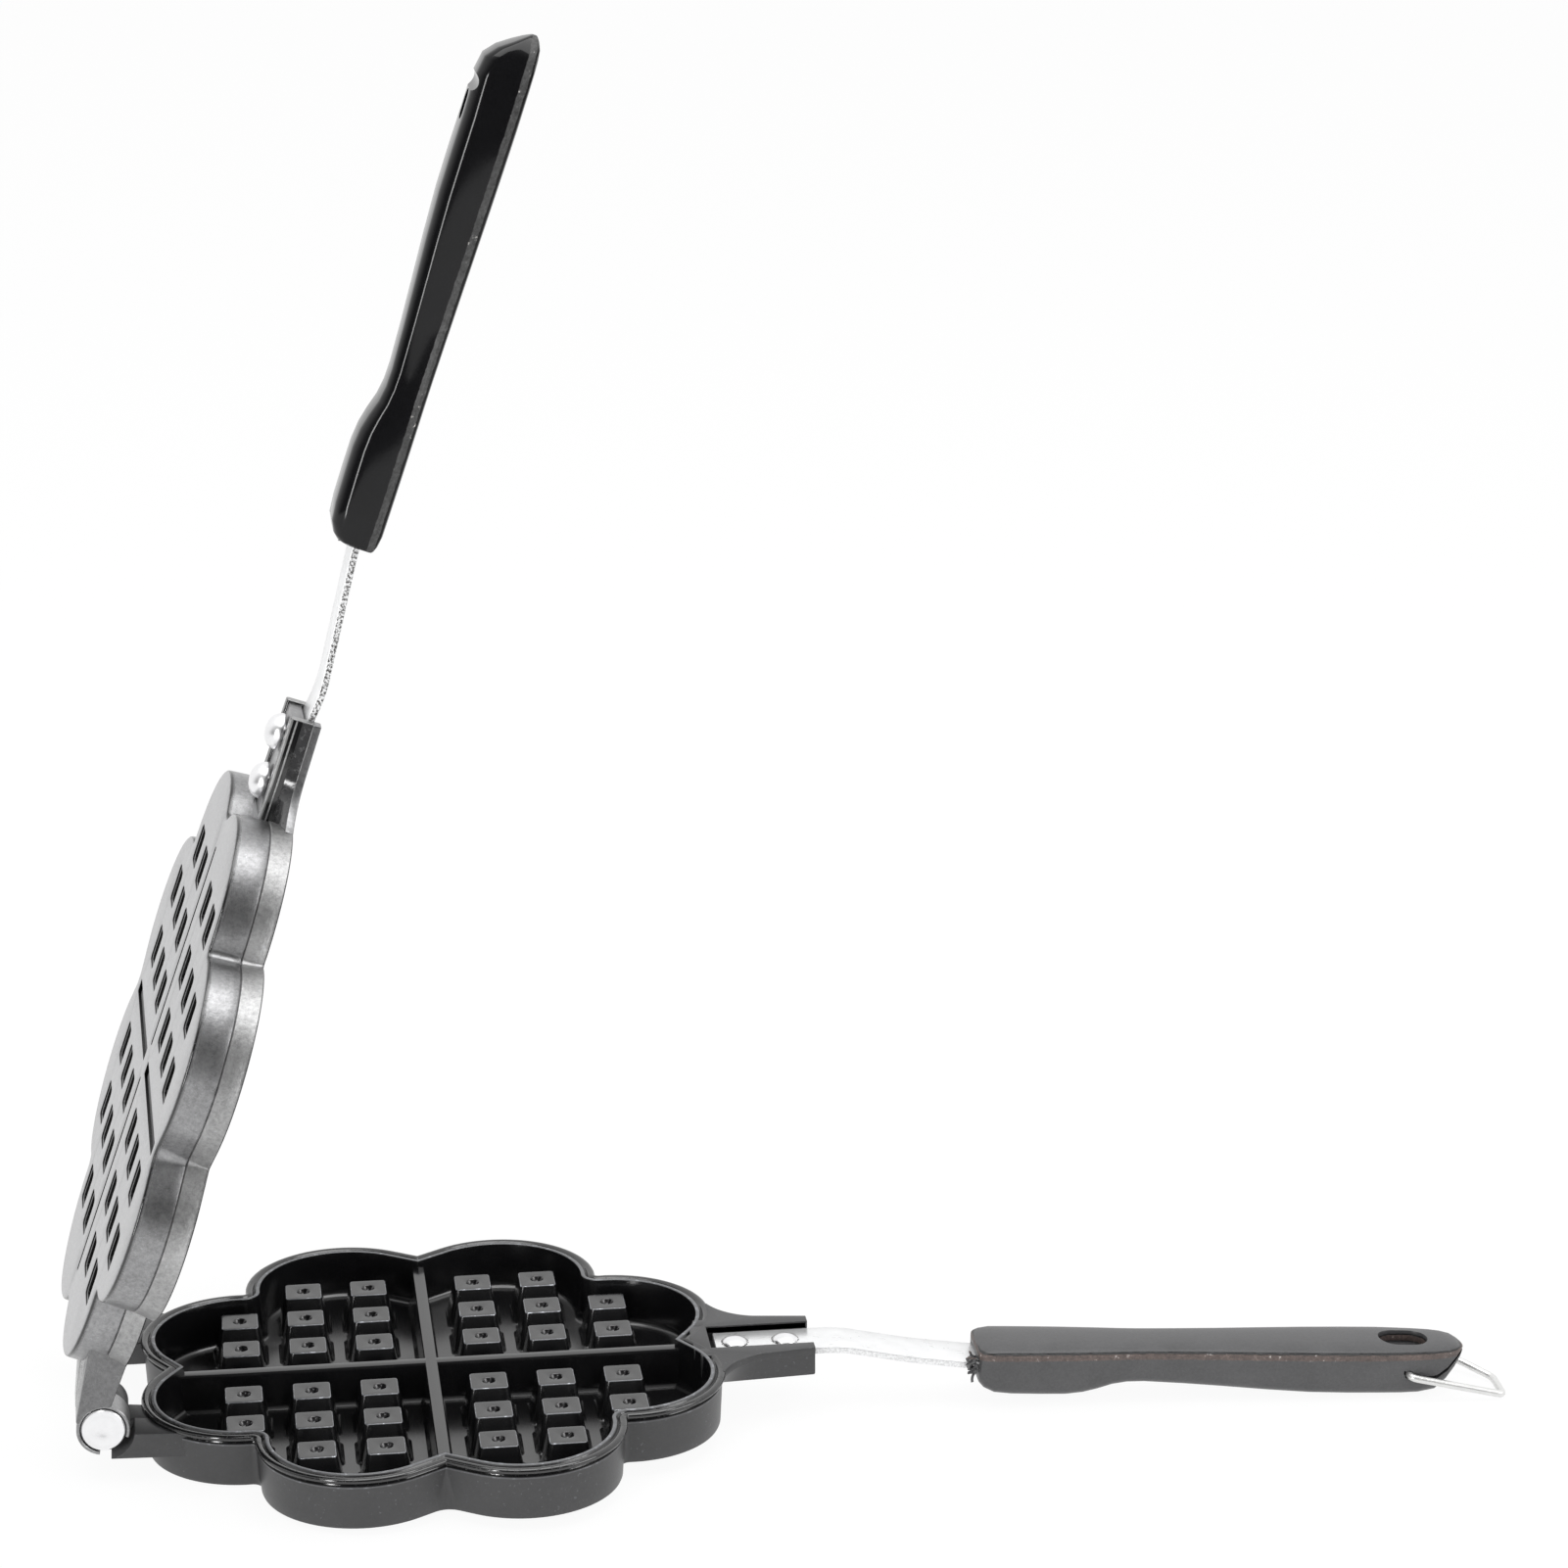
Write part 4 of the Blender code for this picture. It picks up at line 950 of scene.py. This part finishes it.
def strap(name, bends, grip, place, body, torn_edge):
    """A bent strip, with a round at each bend, given its thickness and slightly worn edges."""
    entry = grip @ Vector((0.2, 0, -strap_sunk))
    end = grip @ Vector((strap_in_grip, 0, -strap_sunk))
    path = [(strap_start, strap_top), *bends, (entry.x, entry.z), (end.x, end.z)]
    bm = bmesh.new()
    chain = [bm.verts.new((x, -strap_width / 2, z)) for x, z in path]
    edges = [bm.edges.new(pair) for pair in zip(chain, chain[1:])]
    drawn = points_of(bmesh.ops.extrude_edge_only(bm, edges=edges))
    bmesh.ops.translate(bm, verts=drawn, vec=(0, strap_width, 0))
    folds = [edge for edge in bm.edges if len(edge.link_faces) == 2]
    round_edges(bm, folds, fold_round, 6)
    bmesh.ops.recalc_face_normals(bm, faces=bm.faces)
    if sum(face.normal.z for face in bm.faces) < 0:
        bmesh.ops.reverse_faces(bm, faces=bm.faces)
    bmesh.ops.solidify(bm, geom=bm.faces[:], thickness=strap_thickness)
    bmesh.ops.recalc_face_normals(bm, faces=bm.faces)
    rims = [edge for edge in bm.edges if edge.calc_face_angle(0) > radians(60)]
    round_edges(bm, rims, 0.25, 2)
    sheared_and_shaded = bm.verts.layers.float.new("sheared_and_shaded")
    for vert in bm.verts:
        vert[sheared_and_shaded] = torn_edge if abs(vert.co.y) > strap_width / 2 - 0.01 else 0.0
    piece = finish_piece(bm, name, strap_metal, place)
    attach(piece, body)
    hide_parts(name)


lower_bends = [(117, strap_top), (138, strap_top - 4.7)]
upper_bends = [(106, strap_top), (116.7, strap_top + 1.25)]
strap("lower_strap", lower_bends, lower_grip, Matrix(), "base", torn_edge=0.25)
strap("upper_strap", upper_bends, upper_grip, lid_place, "lid", torn_edge=1.0)


# Rivets: soft aluminium, two in each bracket. A low head sits on the strap
# and a broad dome is pressed up against the bracket's outer face.
head_foot, head_edge = 13.5, 13.7
rivet_turn = [
    (0, 14.95),
    (1.2, 14.9),
    (2.2, 14.72),
    (3.0, 14.42),
    (3.5, 14.05),
    (3.7, 13.75),
    (3.72, 13.66),
    (4.0, 13.6),
    (2.5, 13.56),
    (2.5, 6.95),
    (5.0, 6.93),
    (5.2, 6.7),
    (5.15, 6.3),
    (4.85, 5.3),
    (4.25, 4.3),
    (3.3, 3.5),
    (2.2, 2.97),
    (1.1, 2.75),
    (0, 2.7),
]
for pan, body, place in (("lower", "base", Matrix()), ("upper", "lid", lid_place)):
    for end, x in (("inner", 87.0), ("outer", 101.5)):
        name = f"{pan}_rivet_{end}"
        rivet_bm = bmesh.new()
        gather(rivet_bm, turned(rivet_turn, Matrix.Translation((x, 0, 0)), 48))
        sheared_and_shaded = rivet_bm.verts.layers.float.new("sheared_and_shaded")
        for vert in rivet_bm.verts:
            # The ring where the head meets the strap is marked three times over: painted shade, a
            # dark speckle round the head's foot
            vert[sheared_and_shaded] = 3.0 if head_foot < vert.co.z < head_edge else 0.0
        rivet = finish_piece(rivet_bm, name, bright_aluminium, place, smooth_below=50)
        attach(rivet, body)
        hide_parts(name)


# Grips: moulded phenolic, one satin and one glossy. Each has a crowned inner face,
# a rough parting strip below its edge, a waist for the fingers and a hanging hole near its tip.
grip_length, grip_width, grip_depth, grip_crown = 144.5, 19.5, 13.9, 1.4
hang_hole_x, hang_hole_half_length, hang_hole_half_width = 123.2, 7.15, 5.0
# Each station's share of the length from the mouth, of the width and of the depth
grip_stations = (
    (0.000, 0.86, 0.62),
    (0.004, 0.93, 0.74),
    (0.014, 0.97, 0.85),
    (0.035, 1.00, 0.95),
    (0.070, 1.00, 0.985),
    (0.130, 0.985, 1.00),
    (0.180, 0.965, 1.005),
    (0.215, 0.94, 0.97),
    (0.245, 0.92, 0.895),
    (0.275, 0.895, 0.80),
    (0.305, 0.87, 0.755),
    (0.340, 0.855, 0.75),
    (0.420, 0.865, 0.795),
    (0.500, 0.89, 0.85),
    (0.590, 0.935, 0.915),
    (0.680, 0.975, 0.965),
    (0.760, 0.985, 0.978),
    (0.830, 0.975, 0.98),
    (0.870, 0.93, 0.99),
    (0.905, 0.885, 0.985),
    (0.940, 0.815, 0.93),
    (0.962, 0.72, 0.74),
    (0.980, 0.57, 0.48),
    (0.992, 0.37, 0.30),
    (0.998, 0.20, 0.20),
    (1.000, 0.10, 0.17),
)


def grip_section(bm, x, half_width, depth, sunk, round_foot):
    """One closed ring across the grip: crown, parting edge, strip, drafted side, rounded foot."""
    thin = min(1, 2 * half_width / grip_width)
    crown = grip_crown * thin
    edge = min(round_foot, half_width / 2, depth / 3)
    strip, draft = min(1.2, depth / 4), 0.8 * thin
    low = half_width - draft
    side = [
        (0, crown),
        (half_width * 0.30, crown * 0.97),
        (half_width * 0.55, crown * 0.86),
        (half_width * 0.76, crown * 0.68),
        (half_width * 0.90, crown * 0.48),
        (half_width * 0.965, crown * 0.28),
        (half_width * 0.985, crown * 0.02),
        (half_width * 0.985, -0.1),
        (half_width, -0.2),
        (half_width, -strip),
        (half_width - 0.1 * thin, -strip - 0.12),
        (half_width - draft * 0.55, -depth * 0.55),
        *arc((low - edge, edge - depth), edge, 0, -90, 6),
        (0, -depth),
    ]
    whole = side + [(-y, z) for y, z in reversed(side[1:-1])]
    points = [bm.verts.new((x, y, z - sunk * (1 + min(0, z) / depth))) for y, z in whole]
    return [bm.edges.new((point, points[i - 1])) for i, point in enumerate(points)]


chance = Random(7)


def carve(bm, cutters):
    """Cuts closed shapes out of a closed shape."""
    solid = bpy.data.objects.new("solid", bpy.data.meshes.new("solid"))
    bm.to_mesh(solid.data)
    bm.free()
    bpy.context.scene.collection.objects.link(solid)
    tools = [solid]
    for cutter in cutters:
        tool = bpy.data.objects.new("tool", bpy.data.meshes.new("tool"))
        bmesh.ops.recalc_face_normals(cutter, faces=cutter.faces)
        cutter.to_mesh(tool.data)
        cutter.free()
        bpy.context.scene.collection.objects.link(tool)
        cut = solid.modifiers.new("cut", "BOOLEAN")
        cut.operation = "DIFFERENCE"
        cut.solver = "EXACT"
        cut.object = tool
        tools.append(tool)
    graph = bpy.context.evaluated_depsgraph_get()
    result = bmesh.new()
    result.from_mesh(solid.evaluated_get(graph).to_mesh())
    for tool in tools:
        mesh = tool.data
        bpy.data.objects.remove(tool)
        bpy.data.meshes.remove(mesh)
    return result


def oval(centre_x, half_length, half_width, low, high, flare=0.0):
    """An upright oval plug, wider by flare at its top and its foot."""
    bm = bmesh.new()
    rings = []
    inner_low, inner_high = low + 2 * flare + 0.1, high - 2 * flare - 0.1
    for grow, height in ((flare, low), (0, inner_low), (0, inner_high), (flare, high)):
        half_x, half_y = half_length + grow, half_width + grow
        rings.append(block_ring(bm, (centre_x, 0), half_x, half_y, half_y - 0.01, height, 40))
    join_rings(bm, rings, closed=[0, -1])
    return bm


mouth_start, mouth_end, mouth_half, mouth_foot, mouth_roof = -1, 26.5, 7.4, -6.3, -3.5


def curl(place):
    """One curled shred of moulding flash."""
    bm = bmesh.new()
    ring = bmesh.ops.create_circle(bm, segments=6, radius=0.22)["verts"]
    geom = ring + list({edge for vert in ring for edge in vert.link_edges})
    bmesh.ops.spin(bm, geom=geom, cent=(1.4, 0, 0), axis=(0, 1, 0), angle=1.5, steps=6)
    bmesh.ops.holes_fill(bm, edges=bm.edges, sides=6)
    bmesh.ops.recalc_face_normals(bm, faces=bm.faces)
    bmesh.ops.transform(bm, verts=bm.verts, matrix=place)
    return bm


def grip(name, material, material_slot, grip_place, body, cutters, round_foot, shreds):
    """A moulded grip: rings from the mouth to the tip, its holes cut, and shreds at the mouth."""
    bm = bmesh.new()
    rings = []
    for along, across, down in grip_stations:
        sunk = 1.1 * max(0, 1 - along / 0.035) ** 2 + max(0, (along - 0.972) / 0.028) ** 2
        half_width, depth = across * grip_width / 2, down * grip_depth
        rings.append(grip_section(bm, along * grip_length, half_width, depth, sunk, round_foot))
    join_rings(bm, rings, closed=[0, -1])
    bmesh.ops.recalc_face_normals(bm, faces=bm.faces)
    mouth = [(mouth_start, -mouth_half), (mouth_end, -mouth_half)]
    mouth += [(x, -y) for x, y in reversed(mouth)]
    bm = carve(bm, [slab(mouth, mouth_foot, mouth_roof, round_off=0), *cutters])
    for _ in range(shreds):
        beside = (-7.5, chance.uniform(-6.6, -2.2))
        above = (chance.uniform(-7.6, -3), -3.3)
        across, down = chance.choice([beside, above])
        turn = Matrix.Rotation(chance.uniform(0, 2 * pi), 4, "X")
        tip = Matrix.Rotation(chance.uniform(-2.0, -1.1), 4, "Y")
        tip = tip @ Matrix.Rotation(chance.uniform(0, 6), 4, "Z")
        place = Matrix.Translation((chance.uniform(-1.2, 0.2), across, down)) @ turn @ tip
        gather(bm, curl(place @ Matrix.Scale(chance.uniform(1.0, 2.2), 4)))
    piece = finish_piece(bm, name, material, grip_place, smooth_below=32)
    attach(piece, body)
    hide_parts(name)


seam_black, chip_grey = (0.002, 0.002, 0.002), (0.5, 0.48, 0.46)


def phenolic(name, colour, roughness, reflection, strip_colour, strip_roughness, grain_depth):
    """Moulded phenolic. The strip where the mould parted is rough and a little brown."""
    material, tree = new_material(name)
    spot = own_place(tree)
    height = part_of(spot, "Z")
    cloud = noise(tree, spot, 12, detail=5, roughness=0.6)
    pore = noise(tree, spot, 0.8, detail=4, roughness=0.7)
    mottle = noise(tree, spot, 1.6, detail=4, roughness=0.7)
    ragged = height + 0.0007 * (noise(tree, spot, 3, detail=4, roughness=0.65) - 0.5)
    strip = between(ragged, -0.0024, -0.0021) * (1.0 - between(ragged, -0.00035, -0.00015))
    seam = between(ragged, -0.00045, -0.0003) * (1.0 - between(ragged, 0.0, 0.00015))
    chipped = strip * between(mottle, 0.62, 0.7)
    chipped = chipped * between(noise(tree, spot, 25, detail=1), 0.5, 0.6)
    shaded = blend_colours(strip, colour, strip_colour)
    shaded = tinted(shaded, 0.4 + 0.8 * cloud + 0.9 * (pore - 0.3))
    shaded = tinted(shaded, 1.0 + strip * 1.6 * (mottle - 0.5))
    shaded = blend_colours(seam, shaded, seam_black)
    rough = roughness + (strip_roughness - roughness) * strip
    looks = {
        "Base Color": blend_colours(chipped, shaded, chip_grey),
        "Roughness": rough * (0.75 + 0.5 * cloud),
        "IOR": reflection,
        "Normal": bump(tree, pore + 2.0 * strip * mottle, grain_depth),
    }
    return with_looks(material, looks)


phenolic_satin = phenolic(
    "phenolic_satin",
    colour=(0.05, 0.05, 0.052),
    roughness=0.38,
    reflection=1.62,
    strip_colour=(0.085, 0.062, 0.055),
    strip_roughness=0.6,
    grain_depth=0.035,
)
phenolic_gloss = phenolic(
    "phenolic_gloss",
    colour=(0.004, 0.004, 0.0045),
    roughness=0.09,
    reflection=1.38,
    strip_colour=(0.05, 0.05, 0.05),
    strip_roughness=0.45,
    grain_depth=0.004,
)
pivot_x, pivot_drop, bail_half, pivot_hole = 127.2, 7.0, 10.35, 1.4
sideways = Matrix.Translation((pivot_x, 0, -pivot_drop)) @ Matrix.Rotation(pi / 2, 4, "X")
pivot_holes = [
    turned([(0, low), (pivot_hole, low), (pivot_hole, high), (0, high)], sideways, 24)
    for low, high in ((4.9, 13), (-13, -4.9))
]
hole_size = (hang_hole_half_length, hang_hole_half_width)
hang_hole = oval(hang_hole_x + 3.3, *hole_size, -2.6, 1.75, flare=0.4)
hang_slot = oval(hang_hole_x + 2.3, 5.4, 2.6, -20, 0)
# A deep groove runs under a brow that climbs from each pivot hole to the tip
nose_places = (0.868, 0.885, 0.905, 0.925, 0.94, 0.962, 0.98, 0.992, 1.0)
nose_halves = (9.07, 8.88, 8.63, 8.3, 7.95, 7.0, 5.6, 3.6, 1.2)
brow_heights = (-5.6, -6.3, -7.2, -7.7, -7.4, -5.3, -2.6, -1.3, -0.9)


def between_points(line, x):
    """The height at x of a line through some points."""
    for (start, low), (end, high) in zip(line, line[1:]):
        if x <= end:
            return low + (high - low) * max(0, (x - start) / (end - start))
    return line[-1][1]


def nose_cut(sign):
    """A cutter for the groove under the brow on one side of the nose."""
    groove_high, groove_deep, past_tip, past_side = 1.2, 4.2, 148, 12
    places = [share * grip_length for share in nose_places]
    line = list(zip(places, brow_heights)) + [(past_tip, brow_heights[-1])]
    below = [(x, z - groove_high) for x, z in reversed(line)]
    cut = slab(line + below, 0, 1, upright, round_off=0)
    for vert in cut.verts:
        half = between_points(list(zip(places, nose_halves)), vert.co.x)
        inside = max(half - groove_deep, 0.2)
        vert.co.y = sign * (inside if vert.co.y > -0.5 else past_side)
    return cut


cuts = [nose_cut(sign) for sign in (-1, 1)]
grip(
    "lower_handle",
    phenolic_satin,
    "phenolic_satin",
    lower_grip,
    "base",
    [hang_hole, hang_slot, *pivot_holes, *cuts],
    round_foot=3.2,
    shreds=22,
)
latch_groove = turned(
    [(0, -15), (2.9, -15), (2.9, 15), (0, 15)],
    Matrix.Translation((128.5, 0, -grip_depth - 1.5)) @ Matrix.Rotation(pi / 2, 4, "X"),
    32,
)
hang_hole = oval(hang_hole_x, *hole_size, -3.4, 1.75, flare=0.4)
hang_slot = oval(hang_hole_x - 1.5, 4.2, 2.4, -20, 0)
grip(
    "upper_handle",
    phenolic_gloss,
    "phenolic_gloss",
    lid_place @ upper_grip,
    "lid",
    [hang_hole, hang_slot, latch_groove],
    round_foot=5.5,
    shreds=5,
)


# Latch bail: one length of bright steel wire, bent to a loop with one far corner cut off.
# Its two ends are turned in and sit loose in the lower grip's pivot holes.
wire_radius, bend_reach, bend_steps, end_gap = 1.09, 2.2, 8, 5.2
bail_length, bail_rest = 28.7, radians(-14.2)
far_leg_share, far_bar_share = 0.70, 0.15
pivot = lower_grip @ Vector((pivot_x, 0, -pivot_drop))
bail_place = Matrix.Translation(pivot) @ Matrix.Rotation(-bail_rest, 4, "Y")
corners = [
    Vector((0, -end_gap, 0)),
    Vector((0, -bail_half, 0)),
    Vector((bail_length, -bail_half, 0)),
    Vector((bail_length, bail_half * far_bar_share, 0)),
    Vector((bail_length * far_leg_share, bail_half, 0)),
    Vector((0, bail_half, 0)),
    Vector((0, end_gap, 0)),
]
route = [corners[0]]
for before, corner, after in zip(corners, corners[1:], corners[2:]):
    start = corner + (before - corner).normalized() * bend_reach
    end = corner + (after - corner).normalized() * bend_reach
    for step in range(bend_steps + 1):
        share = step / bend_steps
        route.append(start.lerp(corner, share).lerp(corner.lerp(end, share), share))
route.append(corners[-1])
curve = bpy.data.curves.new("latch_bail", "CURVE")
curve.dimensions = "3D"
curve.bevel_depth = wire_radius
curve.bevel_resolution = 4
curve.use_fill_caps = True
spline = curve.splines.new("POLY")
spline.points.add(len(route) - 1)
for point, stop in zip(spline.points, route):
    point.co = (*stop, 1)
wire = bpy.data.objects.new("wire", curve)
bpy.context.scene.collection.objects.link(wire)
graph = bpy.context.evaluated_depsgraph_get()
bail_bm = bmesh.new()
bail_bm.from_mesh(wire.evaluated_get(graph).to_mesh())
bpy.data.objects.remove(wire)
bmesh.ops.remove_doubles(bail_bm, verts=bail_bm.verts, dist=0.001)
bmesh.ops.recalc_face_normals(bail_bm, faces=bail_bm.faces)
steel_wire = brushed_metal("steel_wire", (0.76, 0.76, 0.75), 0.36, metal=0.8)
bail = finish_piece(bail_bm, "latch_bail", steel_wire, bail_place, smooth_below=50)
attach(bail, "bail")
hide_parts("latch_bail")

[[list(corner) for corner in box] for box in (cad_box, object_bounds())]
